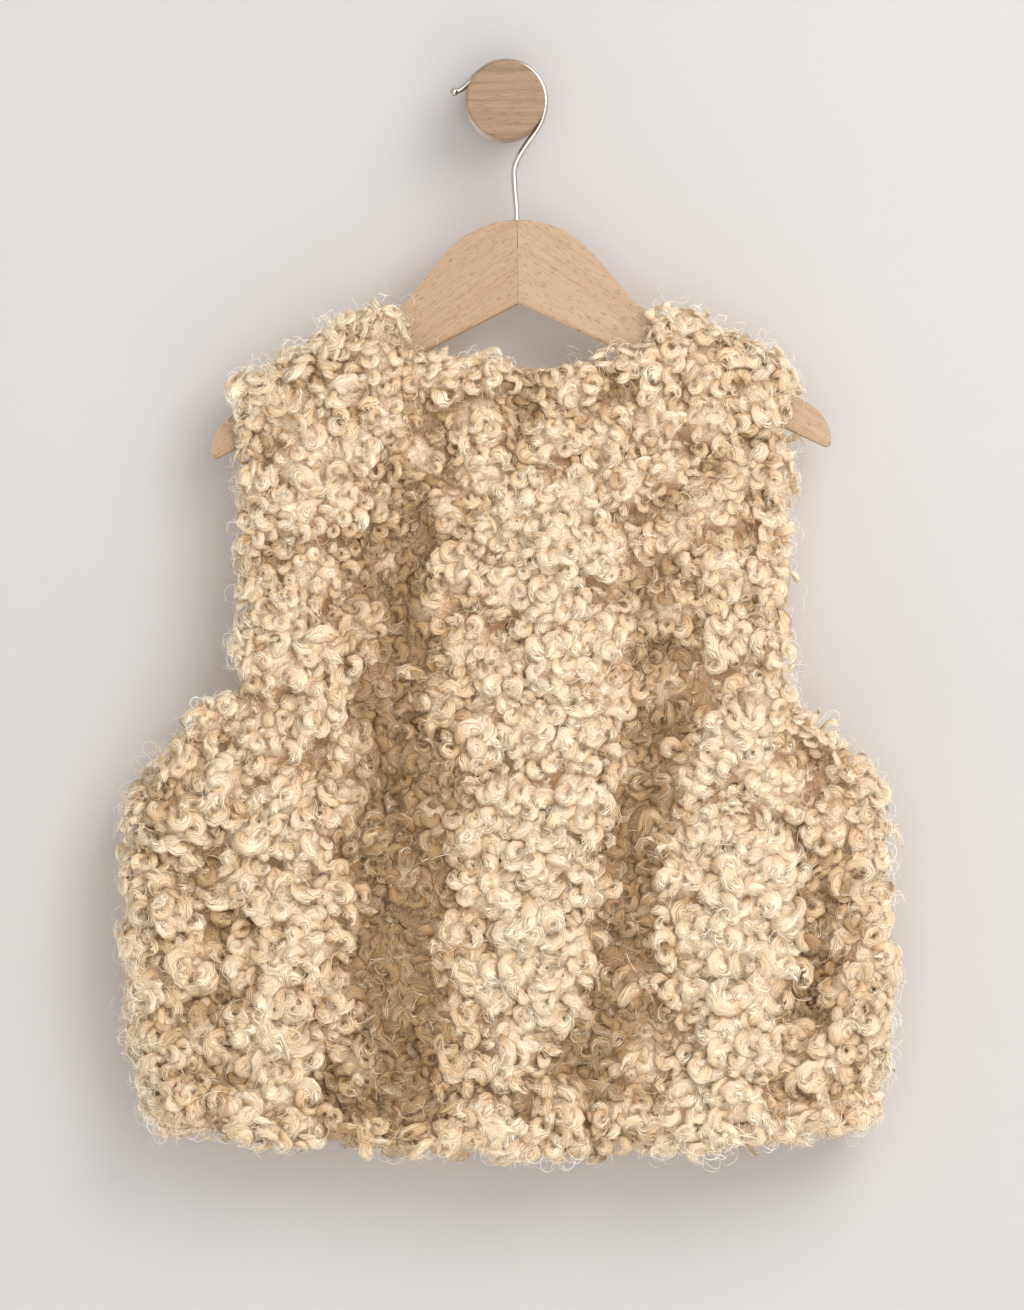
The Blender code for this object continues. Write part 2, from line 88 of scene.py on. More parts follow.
Section = namedtuple("Section", "z left right half_gap")
SECTIONS = (
    Section(-0.585, 0.1905, 0.1850, 0.0190),
    Section(-0.560, 0.1985, 0.1925, 0.0187),
    Section(-0.525, 0.2060, 0.1985, 0.0180),
    Section(-0.470, 0.2095, 0.1990, 0.0170),
    Section(-0.405, 0.2090, 0.1985, 0.0155),
    Section(-0.392, 0.2090, 0.1990, 0.0152),
    Section(-0.360, 0.1745, 0.1640, 0.0143),
    Section(-0.331, 0.1470, 0.1410, 0.0132),
    Section(-0.312, 0.1465, 0.1410, 0.0127),
    Section(-0.245, 0.1420, 0.1400, 0.0108),
    Section(-0.190, 0.1455, 0.1440, 0.0092),
    Section(-0.120, 0.1445, 0.1435, 0.0090),
)
HemPoint = namedtuple("HemPoint", "share z")
HEM = (
    HemPoint(-1.00, -0.5700),
    HemPoint(-0.70, -0.5770),
    HemPoint(-0.25, -0.5825),
    HemPoint(0.15, -0.5840),
    HemPoint(0.60, -0.5790),
    HemPoint(1.00, -0.5700),
)
Fold = namedtuple("Fold", "top_x top_z mid_x mid_z low_x low_z width rise fade")
BACK_FOLDS = (
    Fold(-0.043, -0.160, -0.066, -0.390, -0.050, -0.620, 0.020, -0.0080, 0.110),
    Fold(0.090, -0.230, 0.077, -0.410, 0.025, -0.600, 0.018, -0.0055, 0.080),
    Fold(0.160, -0.400, 0.178, -0.474, 0.138, -0.560, 0.015, -0.0060, 0.040),
    Fold(-0.150, -0.400, -0.160, -0.480, -0.166, -0.620, 0.016, -0.0030, 0.060),
    Fold(-0.110, -0.500, -0.100, -0.555, -0.096, -0.640, 0.014, -0.0040, 0.050),
    Fold(0.024, -0.170, 0.028, -0.350, 0.004, -0.560, 0.030, 0.0050, 0.080),
    Fold(0.128, -0.320, 0.134, -0.430, 0.110, -0.620, 0.024, 0.0065, 0.070),
)

# Bands of the same form that the fur's tone follows beside its folds: painted shade where they sink and
# painted light where they rise, at no height.
BACK_PAINTED_LIGHT_BANDS = (
    Fold(-0.050, -0.320, -0.056, -0.450, -0.048, -0.620, 0.024, -0.0050, 0.080),
    Fold(0.070, -0.330, 0.066, -0.440, 0.030, -0.600, 0.018, -0.0020, 0.080),
    Fold(0.136, -0.250, 0.136, -0.410, 0.112, -0.640, 0.026, 0.0030, 0.060),
    Fold(0.026, -0.160, 0.030, -0.340, 0.006, -0.600, 0.026, 0.0026, 0.080),
    Fold(-0.122, -0.120, -0.126, -0.400, -0.128, -0.700, 0.040, 0.0018, 0.080),
    Fold(0.066, -0.560, 0.000, -0.575, -0.010, -0.700, 0.060, 0.0020, 0.030),
)
FRONT_FOLDS = (
    Fold(-0.100, -0.250, -0.092, -0.420, -0.110, -0.640, 0.022, -0.0045, 0.090),
    Fold(-0.040, -0.330, -0.052, -0.450, -0.046, -0.640, 0.018, 0.0030, 0.080),
    Fold(0.112, -0.260, 0.098, -0.430, 0.116, -0.640, 0.020, -0.0050, 0.090),
    Fold(0.058, -0.340, 0.062, -0.460, 0.050, -0.640, 0.020, 0.0030, 0.080),
    Fold(0.160, -0.420, 0.166, -0.500, 0.158, -0.640, 0.018, 0.0025, 0.060),
)

# How finely the cloth is divided here.
WRAP_ANGLES = tuple(math.radians(a) for a in (72, 54, 36, 18, 0))
NECK_COLUMNS = 22
SHOULDER_COLUMNS = 14
BODY_ROWS = 96


def smooth(t):
    t = np.clip(t, 0.0, 1.0)
    return t * t * (3.0 - 2.0 * t)


def arc(points, heading, radius, turn_deg, steps):
    """Adds an arc to an outline in X and Z. A negative turn bends downwards. Returns the new heading."""
    x, z = points[-1]
    side = 1 if turn_deg > 0 else -1
    centre = (x - side * radius * math.sin(heading), z + side * radius * math.cos(heading))
    for step in range(1, steps + 1):
        angle = heading + math.radians(turn_deg) * step / steps
        out = centre[0] + side * radius * math.sin(angle)
        up = centre[1] - side * radius * math.cos(angle)
        points.append((out, up))
    return heading + math.radians(turn_deg)


def straight(points, heading, length):
    x, z = points[-1]
    points.append((x + length * math.cos(heading), z + length * math.sin(heading)))


def arm_top():
    """The hanger's top edge from its crown to its nose, and where the straight arm starts."""
    points = [(0.0, 0.0)]
    heading = arc(points, 0.0, CROWN_RADIUS, -CROWN_TURN_DEG, CROWN_STEPS)
    straight(points, heading, CROWN_STRAIGHT)
    heading = arc(points, heading, SHOULDER_RADIUS, CROWN_TURN_DEG - ARM_TOP_DEG, SHOULDER_STEPS)
    arm_start = points[-1]
    nose_reach = NOSE_RADIUS * (1 - math.sin(math.radians(ARM_TOP_DEG)))
    straight(points, heading, (HANGER_HALF_LENGTH - nose_reach - arm_start[0]) / math.cos(heading))
    return points, arm_start


def underside(out):
    return -HANGER_DEPTH - out * math.tan(math.radians(ARM_UNDERSIDE_DEG))


def tilted(out, up, side):
    """A point of the hanger in X and Z, turned about the top of its crown."""
    angle = math.radians(HANGER_TILT_DEG)
    across = side * out
    return (
        HANGER_X + across * math.cos(angle) - up * math.sin(angle),
        HANGER_TOP_Z + across * math.sin(angle) + up * math.cos(angle),
    )


def across_hanger(x, points):
    """Height at x of the line through these (out, up) points of one half and their mirror images."""
    ends = [tilted(out, up, -1) for out, up in reversed(points)]
    ends += [tilted(out, up, 1) for out, up in points]
    return np.interp(x, [end[0] for end in ends], [end[1] for end in ends])


def top_edge_line(x):
    return across_hanger(x, arm_top()[0])


def seam_line(x):
    points, arm_start = arm_top()
    return across_hanger(x, [arm_start, points[-1]])


def underside_line(x):
    return across_hanger(x, [(0.0, underside(0.0)), (HANGER_HALF_LENGTH, underside(HANGER_HALF_LENGTH))])


def column_of(rows, name):
    return np.array([getattr(row, name) for row in rows])


def section_at(z, name):
    """A column of the sections table at height z, eased over a short stretch so that no corner is sharp."""
    offsets = np.linspace(-SECTION_EASE, SECTION_EASE, 5)
    heights, values = column_of(SECTIONS, "z"), column_of(SECTIONS, name)
    return sum(np.interp(z + offset, heights, values) for offset in offsets) / len(offsets)


def half_width_at(z, side):
    return np.where(side < 0, section_at(z, "left"), section_at(z, "right"))


def top_line(x, neck_depth, neck_power):
    """The cloth's top edge: along the hanger's arms, and scooped out between them."""
    ends = HANGER_X - NECK_LEFT + NECK_TRANSITION, HANGER_X + NECK_RIGHT - NECK_TRANSITION
    centre = sum(ends) / 2
    inside = np.clip(np.abs(x - centre) / (ends[1] - centre), 0, 1)
    scoop = neck_depth * (1 - inside**neck_power) ** (1 / neck_power)
    level = np.interp(x, ends, seam_line(ends))
    height = np.where(inside < 1, level, seam_line(x))
    return height + SHOULDER_CLEARANCE - scoop


def fold_height(x, z, folds):
    """How far the folds move a panel out at each point."""
    total = np.zeros_like(x)
    for fold in folds:
        route_z = [fold.low_z, fold.mid_z, fold.top_z]
        curve = np.polyfit(route_z, [fold.low_x, fold.mid_x, fold.top_x], 2)
        away = (x - np.polyval(curve, z)) / fold.width
        ends = smooth((fold.top_z - z) / fold.fade) * smooth((z - fold.low_z) / fold.fade)
        total += fold.rise * np.exp(-(away**2)) * ends
    return total


def half_columns(side):
    """(side, share of the flat stretch, wrap angle) of each column, from the centre line to the side."""
    flat = section_at(0.0, "left" if side < 0 else "right") - EDGE_WRAP
    neck = (NECK_LEFT if side < 0 else NECK_RIGHT) / flat
    shares = list(np.linspace(0, neck - NECK_TRANSITION / flat, NECK_COLUMNS + 1))
    shares += list(np.linspace(neck, 1, SHOULDER_COLUMNS + 1))
    columns = [(side, share, math.pi / 2) for share in shares]
    return columns + [(side, 1.0, angle) for angle in WRAP_ANGLES]


def panel_columns(sides):
    """The columns of a panel on one or both sides, from left to right."""
    columns = half_columns(sides[0])[:: sides[0]]
    if len(sides) == 2:
        columns += half_columns(sides[1])[1:]
    return columns


def panel_rows():
    """(share of the flat stretch, angle at the hem, angle at the top) of each row, from the hem up."""
    quarter = math.pi / 2
    rows = [(0.0, angle, quarter) for angle in reversed(WRAP_ANGLES)]
    rows += [(share, quarter, quarter) for share in np.linspace(0, 1, BODY_ROWS)]
    rows += [(1.0, quarter, angle) for angle in WRAP_ANGLES]
    return rows


def outward(points, along_axis, reference):
    """Unit vectors in X and Z across a border line, on the side of `reference`."""
    along = np.gradient(points, axis=along_axis)
    across = np.stack([-along[..., 1], along[..., 0]], axis=-1)
    across /= np.linalg.norm(across, axis=-1, keepdims=True)
    facing = np.sign((across * reference).sum(axis=-1, keepdims=True))
    return across * facing


DEEPEST_FOLD = 0.008  # the fold whose middle counts as 1 in `lie`


def panel_grid(columns, facing, neck_depth, neck_power, folds, painted_light_bands, butt_at_centre):
    """The cut cloth's inner face, the pile's direction, and its lie, from -1 in a trough to 1 on a ridge,
    with the painted light bands added in.
    """
    side, share, side_angle = (np.array(values)[None, :] for values in zip(*columns))
    rise, hem_angle, top_angle = (np.array(values)[:, None] for values in zip(*panel_rows()))

    # Heights. The top and hem edges are read where each column ends.
    top_flat = half_width_at(0.0, side) - EDGE_WRAP
    top_x = HANGER_X + side * (top_flat * share + EDGE_WRAP * np.cos(side_angle))
    top_z = top_line(top_x, neck_depth, neck_power)
    hem_z = np.interp(side * share, column_of(HEM, "share"), column_of(HEM, "z"))
    neck_half_width = np.where(side < 0, NECK_LEFT, NECK_RIGHT)
    on_shoulder = np.abs(top_x - HANGER_X) > neck_half_width - NECK_TRANSITION / 2
    top_wrap = np.where(on_shoulder, SHOULDER_WRAP, EDGE_WRAP)
    low = hem_z + EDGE_WRAP
    high = top_z - top_wrap
    z = low + rise * (high - low) - EDGE_WRAP * np.cos(hem_angle) + top_wrap * np.cos(top_angle)

    # Widths, with the seam's wrap below the underarm and the cut edge's above it.
    seamed = smooth((UNDERARM_Z - z) / UNDERARM_BLEND + 0.5)
    side_wrap = EDGE_WRAP + seamed * (SIDE_WRAP - EDGE_WRAP)
    flat = half_width_at(z, side) - side_wrap
    x = HANGER_X + side * (flat * share + side_wrap * np.cos(side_angle))
    if butt_at_centre:
        x = np.where(share == 0, x + side * SEAM_GAP / 2, x)

    # Depth from the middle plane, closing to nothing at the seams.
    open_side = 1 - seamed * (1 - np.sin(side_angle))
    open_top = 1 - on_shoulder * (1 - np.sin(top_angle) ** SHOULDER_BOXINESS)
    below_hanger = smooth((underside_line(x) - z) / FOLD_FADE)
    depth = section_at(z, "half_gap") + fold_height(x, z, folds) * below_hanger
    depth = SEAM_GAP / 2 + depth * open_side * open_top

    # Directions in which the pile stands.
    border = np.stack([x, z], axis=-1)
    lean = np.zeros_like(border)
    for last_column, direction in ((0, -1), (-1, 1)):
        here = (side == direction) & (side_angle < math.pi / 2)
        if not here.any():
            continue
        edge = outward(border[:, last_column], 0, np.array([direction, 0.0]))
        lean += edge[:, None, :] * (np.cos(side_angle) * here)[..., None]
    lean += outward(border[-1], 0, np.array([0.0, 1.0]))[None] * np.cos(top_angle)[..., None]
    lean += outward(border[0], 0, np.array([0.0, -1.0]))[None] * np.cos(hem_angle)[..., None]
    if butt_at_centre:
        lean[..., 0] = np.where(share == 0, 0.0, lean[..., 0])
    length = np.linalg.norm(lean, axis=-1, keepdims=True)
    lean = lean / np.maximum(length, 1.0)
    stand = np.sqrt(np.clip(1 - (lean**2).sum(axis=-1), 0, 1))

    inner = np.stack([x, MID_Y + facing * depth, z], axis=-1)
    pile_way = np.stack([lean[..., 0], facing * stand, lean[..., 1]], axis=-1)
    # The lie adds the painted light bands to the folds; the fur's tone reads it as painted shade in troughs
    # and painted light on ridges.
    lie = (fold_height(x, z, folds) + fold_height(x, z, painted_light_bands)) * below_hanger / DEEPEST_FOLD
    return inner, pile_way, np.clip(lie, -1, 1)[..., None]


# ---- Helpers ----


def add_object(name, data):
    """Puts a mesh, a light or a camera in the scene."""
    made = bpy.data.objects.new(name, data)
    bpy.context.scene.collection.objects.link(made)
    return made


def add_mesh(name, points, faces, *materials):
    mesh = bpy.data.meshes.new(name)
    mesh.from_pydata(points, [], faces)
    for own in materials:
        mesh.materials.append(own)
    return add_object(name, mesh)


def add_map(mesh, name, u, v, faces):
    """A UV map with one place for each point."""
    places = np.stack([u, v], axis=-1).reshape(-1, 2).astype(np.float32)
    layer = mesh.uv_layers.new(name=name)
    layer.data.foreach_set("uv", places[faces.ravel()].ravel())


def grid_faces(index):
    """The faces between neighbours in a grid of point numbers."""
    corners = index[..., :-1, :-1], index[..., :-1, 1:], index[..., 1:, 1:], index[..., 1:, :-1]
    return np.stack(corners, axis=-1).reshape(-1, 4)


def material(name, paint, *settings):
    """A node material whose surface is the shader that `paint` makes in its tree."""
    made = bpy.data.materials.new(name)
    made.use_nodes = True
    tree = made.node_tree
    tree.nodes.clear()
    output = node(tree, "OutputMaterial")
    tree.links.new(paint(tree, *settings), output.inputs["Surface"])
    return made


def node(tree, kind, inputs=None, **settings):
    """Adds a node with these settings and these socket values or links."""
    made = tree.nodes.new("ShaderNode" + kind)
    for name, value in settings.items():
        setattr(made, name, value)
    for name, value in (inputs or {}).items():
        socket = made.inputs[name]
        if isinstance(value, bpy.types.NodeSocket):
            tree.links.new(value, socket)
        else:
            socket.default_value = value
    return made


def maths(tree, operation, *values):
    """The result of a Math node on these numbers or sockets."""
    return node(tree, "Math", dict(enumerate(values)), operation=operation).outputs[0]


def times(tree, a, b):
    return maths(tree, "MULTIPLY", a, b)


def plus(tree, a, b):
    return maths(tree, "ADD", a, b)


def minus(tree, a, b):
    return maths(tree, "SUBTRACT", a, b)


def vectors(tree, operation, inputs):
    return node(tree, "VectorMath", inputs, operation=operation).outputs[0]


def split(tree, where):
    return node(tree, "SeparateXYZ", {"Vector": where}).outputs


def step_up(tree, value, low, high):
    """0 below low, 1 above high, and straight between."""
    settings = {"Value": value, "From Min": low, "From Max": high}
    return node(tree, "MapRange", settings, clamp=True).outputs["Result"]


def ramp(tree, factor, stops):
    """A colour ramp over (position, linear RGB) stops."""
    made = node(tree, "ValToRGB", {"Fac": factor})
    elements = made.color_ramp.elements
    while len(elements) < len(stops):
        elements.new(0.5)
    for element, (position, colour) in zip(elements, stops):
        element.position = position
        element.color = (*colour, 1.0)
    return made.outputs["Color"]


def tint(tree, colour, by, amount):
    """`colour` times `by`, to the share `amount`."""
    made = node(tree, "Mix", data_type="RGBA", blend_type="MULTIPLY")
    made.inputs["Factor"].default_value = amount
    tree.links.new(colour, made.inputs["A"])
    tree.links.new(by, made.inputs["B"])
    return made.outputs["Result"]


def object_place(tree):
    """The place of each point, in metres."""
    return node(tree, "TexCoord").outputs["Object"]


def noise(tree, where, scale, detail, roughness=0.5, output="Fac"):
    settings = {"Vector": where, "Scale": scale, "Detail": detail, "Roughness": roughness}
    return node(tree, "TexNoise", settings).outputs[output]


def bump(tree, height, strength, distance):
    settings = {"Height": height, "Strength": strength, "Distance": distance}
    return node(tree, "Bump", settings).outputs["Normal"]


def principled(tree, colour, roughness, others):
    settings = {"Base Color": colour, "Roughness": roughness, **others}
    return node(tree, "BsdfPrincipled", settings).outputs[0]


# ---- Fur materials ----

BAKE_MAP = "OFBake"  # on the locks: U is the tone and the way across, V the way along
PILE_MAP = "PileMap"  # on the cloth: U is the lie of the folds, V the height of the pile, which sets the undercoat's painted shade

# The pile's colour from root to tip: darker towards the root as painted shade deep in the pile.
ROOT_SHADE_COLOURS = (
    (0.00, (0.520, 0.330, 0.170)),
    (0.22, (0.800, 0.630, 0.440)),
    (0.50, (0.910, 0.795, 0.625)),
    (1.00, (0.955, 0.880, 0.755)),
)
# The undercoat's colour with painted shade: darker where the pile is low and in the troughs.
UNDERCOAT_SHADE_COLOURS = (
    (0.15, (0.470, 0.330, 0.200)),
    (0.45, (0.700, 0.550, 0.375)),
    (0.80, (0.900, 0.780, 0.610)),
)
# The locks' tone from dark to light: random tone together with the painted shade and light that curls() adds
# into it.
TONE_AND_SHADE_COLOURS = (
    (0.00, (0.43, 0.33, 0.22)),
    (0.22, (0.66, 0.55, 0.42)),
    (0.44, (0.87, 0.79, 0.68)),
    (0.66, (0.97, 0.93, 0.87)),
    (0.86, (1.0, 1.0, 1.0)),
)
HAIR_SHADE_AND_HIGHLIGHT_COLOURS = (  # painted shade between the hairs of a lock, and a painted highlight on them
    (0.32, (0.64, 0.49, 0.33)),
    (0.45, (0.88, 0.80, 0.69)),
    (0.58, (1.0, 1.0, 1.0)),
)
FRIZZ_LIGHT_AND_SHADE_COLOURS = ((0.12, (0.58, 0.45, 0.34)), (0.70, (1.0, 1.0, 1.0)))
KNIT_COLOURS = ((0.0, (0.40, 0.29, 0.19)), (0.5, (0.55, 0.42, 0.29)), (1.0, (0.63, 0.50, 0.36)))

LANES = 16  # strips side by side in the locks' map, from dark to light, by the tone with its painted shade and light
SOLID_LANES = 14  # the rest have only a few stray hairs
HAIRS_ACROSS = 300.0  # how many hairs lie side by side over the whole map
HAIRS_ALONG = 2.4  # how often a hair comes and goes along its lock
HAIRS_WANDER = 0.030
THIN_ANYWHERE = 0.17  # the strands' noise below these, added up, leaves a gap
THIN_AT_EDGE = 0.36
THIN_AT_TIP = 0.40
THIN_IF_STRAY = 0.24
SOFT_EDGE = 0.26  # hairs finer than a pixel fade out over this much of the noise
LIGHT_THROUGH_HAIR = 0.12
ARCS_OUTWARDS = 3.4
UNDERCOAT_CURL = 0.0085
UNDERCOAT_WARP = 0.012
FRIZZ_SCALES = (210.0, 330.0, 470.0)


def curl_pattern(tree, where, cell):
    """Small curls drawn in space: a dome at each cell's middle, and arcs wound round it, which the undercoat
    uses for relief and for painted light.
    """
    cells = node(tree, "TexVoronoi", {"Vector": where, "Scale": 1 / cell, "Randomness": 1.0}).outputs
    offset = split(tree, vectors(tree, "SUBTRACT", {0: where, 1: cells["Position"]}))
    turn = maths(tree, "DIVIDE", maths(tree, "ARCTAN2", offset["X"], offset["Z"]), 2 * math.pi)
    wound = plus(tree, times(tree, cells["Distance"], ARCS_OUTWARDS), turn)
    arcs = maths(tree, "MULTIPLY_ADD", maths(tree, "SINE", times(tree, wound, 2 * math.pi)), 0.5, 0.5)
    dome = minus(tree, 1.0, maths(tree, "POWER", cells["Distance"], 2.0))
    return dome, arcs


def map_parts(tree, name):
    """A UV map's own two directions."""
    place = split(tree, node(tree, "UVMap", {}, uv_map=name).outputs["UV"])
    return place["X"], place["Y"]


def flat_noise(tree, across, along, detail, roughness=0.5):
    """A noise that reads two numbers."""
    where = node(tree, "CombineXYZ", {"X": across, "Y": along}).outputs[0]
    settings = {"Vector": where, "Scale": 1.0, "Detail": detail, "Roughness": roughness}
    return node(tree, "TexNoise", settings, noise_dimensions="2D").outputs["Fac"]


def hair_surface(tree, colour, alpha, normal):
    """Fibres that shine softly, let some light through, and are there only where `alpha` is."""
    sheen = {"Sheen Weight": 0.08, "Sheen Roughness": 0.40, "Sheen Tint": (1.0, 0.93, 0.83, 1.0)}
    skin = principled(tree, colour, 0.60, {"Specular IOR Level": 0.20, "Normal": normal, **sheen})
    through = node(tree, "BsdfTranslucent", {"Color": colour}).outputs[0]
    lit = node(tree, "MixShader", {0: LIGHT_THROUGH_HAIR, 1: skin, 2: through}).outputs[0]
    clear = node(tree, "BsdfTransparent").outputs[0]
    return node(tree, "MixShader", {0: alpha, 1: clear, 2: lit}).outputs[0]


def lock_surface(tree):
    """Hairs side by side along a lock, which thin out to single hairs at its edges and tip."""
    across, along = map_parts(tree, BAKE_MAP)
    wander = flat_noise(tree, times(tree, across, 40.0), times(tree, along, 2.6), 1.0)
    bent = plus(tree, across, times(tree, wander, HAIRS_WANDER))
    strands = flat_noise(tree, times(tree, bent, HAIRS_ACROSS), times(tree, along, HAIRS_ALONG), 3.0, 0.7)
    local = maths(tree, "FRACT", times(tree, across, float(LANES)))
    edge = maths(tree, "ABSOLUTE", maths(tree, "MULTIPLY_ADD", local, 2.0, -1.0))
    thin = times(tree, maths(tree, "POWER", edge, 2.5), THIN_AT_EDGE)
    tip = times(tree, maths(tree, "POWER", along, 3.0), THIN_AT_TIP)
    stray = times(tree, maths(tree, "GREATER_THAN", across, SOLID_LANES / LANES), THIN_IF_STRAY)
    threshold = plus(tree, plus(tree, thin, tip), plus(tree, stray, THIN_ANYWHERE))
    alpha = step_up(tree, minus(tree, strands, threshold), 0.0, SOFT_EDGE)
    # Painted shade, darker towards each lock's root deep in the pile.
    colour = ramp(tree, along, ROOT_SHADE_COLOURS)
    colour = tint(tree, colour, ramp(tree, across, TONE_AND_SHADE_COLOURS), 1.0)
    # Painted shade between the hairs and a painted highlight on them.
    colour = tint(tree, colour, ramp(tree, strands, HAIR_SHADE_AND_HIGHLIGHT_COLOURS), 0.9)
    return hair_surface(tree, colour, alpha, bump(tree, strands, 0.5, 0.00035))


def loose_hair_surface(tree):
    """A single hair, painted darker at its root as shade deep in the pile. Its colour is read from the map: U
    is its tone, V its height.
    """
    own_tone, height = map_parts(tree, BAKE_MAP)
    colour = tint(tree, ramp(tree, height, ROOT_SHADE_COLOURS), ramp(tree, own_tone, TONE_AND_SHADE_COLOURS), 1.0)
    return principled(tree, colour, 0.5, {"Specular IOR Level": 0.3})


def undercoat_surface(tree):
    """The dense undercoat of finer curls that shows in the depths between the locks."""
    where = object_place(tree)
    warp = noise(tree, where, 150.0, 3.0, 0.6, "Color")
    centred = vectors(tree, "SUBTRACT", {0: warp, 1: (0.5, 0.5, 0.5)})
    shift = vectors(tree, "SCALE", {0: centred, "Scale": UNDERCOAT_WARP})
    bent = vectors(tree, "ADD", {0: where, 1: shift})
    dome, arcs = curl_pattern(tree, bent, UNDERCOAT_CURL)
    frizz = noise(tree, bent, 1300.0, 2.0, 0.7)
    height = times(tree, dome, maths(tree, "MULTIPLY_ADD", arcs, 0.45, 0.55))
    height = times(tree, height, maths(tree, "MULTIPLY_ADD", frizz, 0.7, 0.65))
    levels = []
    for scale in FRIZZ_SCALES:
        levels.append(maths(tree, "ABSOLUTE", minus(tree, noise(tree, bent, scale, 1.0), 0.5)))
    nearest = maths(tree, "MINIMUM", maths(tree, "MINIMUM", levels[0], levels[1]), levels[2])
    hairs = step_up(tree, nearest, 0.030, 0.004)
    height = maths(tree, "MULTIPLY_ADD", hairs, 0.45, times(tree, height, 0.55))
    # Painted shade, deeper where the pile is lower.
    _, depth = map_parts(tree, PILE_MAP)
    # Painted light and shade from the undercoat's own relief: paler on its domes, arcs and light hairs,
    # darker in their hollows.
    colour = tint(tree, ramp(tree, depth, UNDERCOAT_SHADE_COLOURS), ramp(tree, height, FRIZZ_LIGHT_AND_SHADE_COLOURS), 1.0)
    relief = bump(tree, height, 0.5, 0.0008)
    return principled(tree, colour, 0.9, {"Specular IOR Level": 0.15, "Normal": relief})


def backing_surface(tree):
    """The knitted backing cloth, as seen inside the gilet."""
    where = object_place(tree)
    waves = []
    for way, scale, distortion in (("X", 260.0, 0.6), ("Z", 200.0, 0.8)):
        settings = {"Vector": where, "Scale": scale, "Distortion": distortion, "Detail": 1.0}
        waves.append(node(tree, "TexWave", settings, bands_direction=way).outputs["Fac"])
    knit = times(tree, *waves)
    relief = bump(tree, knit, 0.5, 0.0004)
    return principled(tree, ramp(tree, knit, KNIT_COLOURS), 0.85, {"Sheen Weight": 0.2, "Normal": relief})


# ---- Locks ----

# One kind of lock: a bundle of fibres that curls, in metres and degrees. `share` is its share of all locks,
# and `columns` and `steps` are the faces across and along it. `radius` is the curl's own. `tilt` turns its
# axis from the pile's direction, 0 for a ring seen face on, towards lying on the surface, 90 for a roll.
# `thick` and `wide` are the bundle's half thickness across the curl and its half width along the curl's axis.
# `reach` is how high it stands beside the pile's full reach. `sway` is 1 for a lock that waves from side to
# side, and `facing` is 1 where its hollow side turns away from the viewer.
Kind = namedtuple("Kind", "share columns steps radius turns tilt thick wide reach sway facing")
KINDS = {
    "ring": Kind(
        0.30, 4, 10, (0.0027, 0.0040), (0.80, 1.15), (0, 45), (0.0025, 0.0036), (0.0015, 0.0022), 1.00, 0, 1
    ),
    "hook": Kind(
        0.32, 4, 8, (0.0038, 0.0056), (0.48, 0.80), (0, 50), (0.0030, 0.0042), (0.0017, 0.0025), 1.00, 0, 1
    ),
    "roll": Kind(
        0.10, 4, 7, (0.0034, 0.0050), (0.50, 0.80), (50, 100), (0.0017, 0.0025), (0.0030, 0.0044), 1.00, 0, 0
    ),
    "wave": Kind(
        0.16, 3, 9, (0.0022, 0.0034), (0.70, 1.10), (50, 95), (0.0012, 0.0018), (0.0025, 0.0038), 1.00, 1, 0
    ),
    "shell": Kind(
        0.12, 5, 8, (0.0060, 0.0090), (0.32, 0.50), (5, 50), (0.0042, 0.0060), (0.0020, 0.0030), 1.02, 0, 1
    ),
}
WISP_KIND = Kind(
    1.0, 1, 8, (0.0028, 0.0065), (0.35, 1.0), (10, 100), (0.00009, 0.00009), (0.0, 0.0), 1.22, 0, 0
)

CLUMP_SPACING = 0.026
CLUMP_RADIUS = 0.62 * CLUMP_SPACING
FOLD_RELIEF = 0.16  # how much higher the pile stands on a ridge, and lower in a trough
CLUMP_RELIEF = 0.58  # how much lower the pile is between two clumps
WAVE_LENGTH = 0.016
WAVE_BOW = -0.0045
STEM = 0.005  # how much of a lock is hidden below the start of its curl
CLUMP_LEAN = 0.40  # how far the locks at a clump's border lean away from its middle
LEAN_SPREAD = 0.14
SWING_SPREAD_DEG = 60
RING_PITCH = (-0.0010, 0.0040)  # how far the end of a ring stands beyond its start, along its axis
ROLL_PITCH_SPREAD = 0.0018
ROOT_RISE = 0.0015  # how far above the cloth's inner face every lock and hair begins
GUTTER = math.radians(104)  # how far round its middle line a lock's hairs reach to either side
FACE_TURN = math.radians(70)  # how far a ring's strip turns to show its broad side
STRAY_GIRTH = 1.35  # how much wider the stray hairs of a lock stand
LOCK_REACH_SPREAD = 0.10
WISP_REACH_SPREAD = 0.16
SIZE_LEAST = 0.84
SIZE_BY_HEM = 0.22
SIZE_BY_CLUMP = 0.34
CURL_TIGHTENS = 0.34  # how much smaller a curl's radius is at its tip
MIDDLE_HEIGHT = 0.90
TONE_MIDDLE = 0.59
# Painted shade in the folds' troughs and painted light on their ridges, in the locks' tone.
SHADE_PAINTED_BY_FOLD = 0.88
# Painted shade where the pile stands low between clumps, and painted light on the clumps' tops.
SHADE_PAINTED_BY_HEIGHT = 0.85
TONE_BY_CLUMP = 0.16
TONE_SPREAD = 0.15
BORDER_PAINTED_LIGHT = 0.60  # painted light: how much paler in tone the pile is where it leans over a border
WALL_CLEAR = 0.0015
BOARD_CLEAR = 0.0006
SCATTER_TRIES = 14
NEIGHBOURS = tuple(product((-1, 0, 1), repeat=3))


def unit(v):
    return v / np.maximum(np.linalg.norm(v, axis=-1, keepdims=True), 1e-12)


def dot(a, b):
    return (a * b).sum(axis=-1, keepdims=True)


def apart_from(v, way):
    """What is left of these vectors without their part along unit vectors."""
    return v - dot(v, way) * way


def between(rng, ends, count):
    return ends[0] + (ends[1] - ends[0]) * rng.random(count)


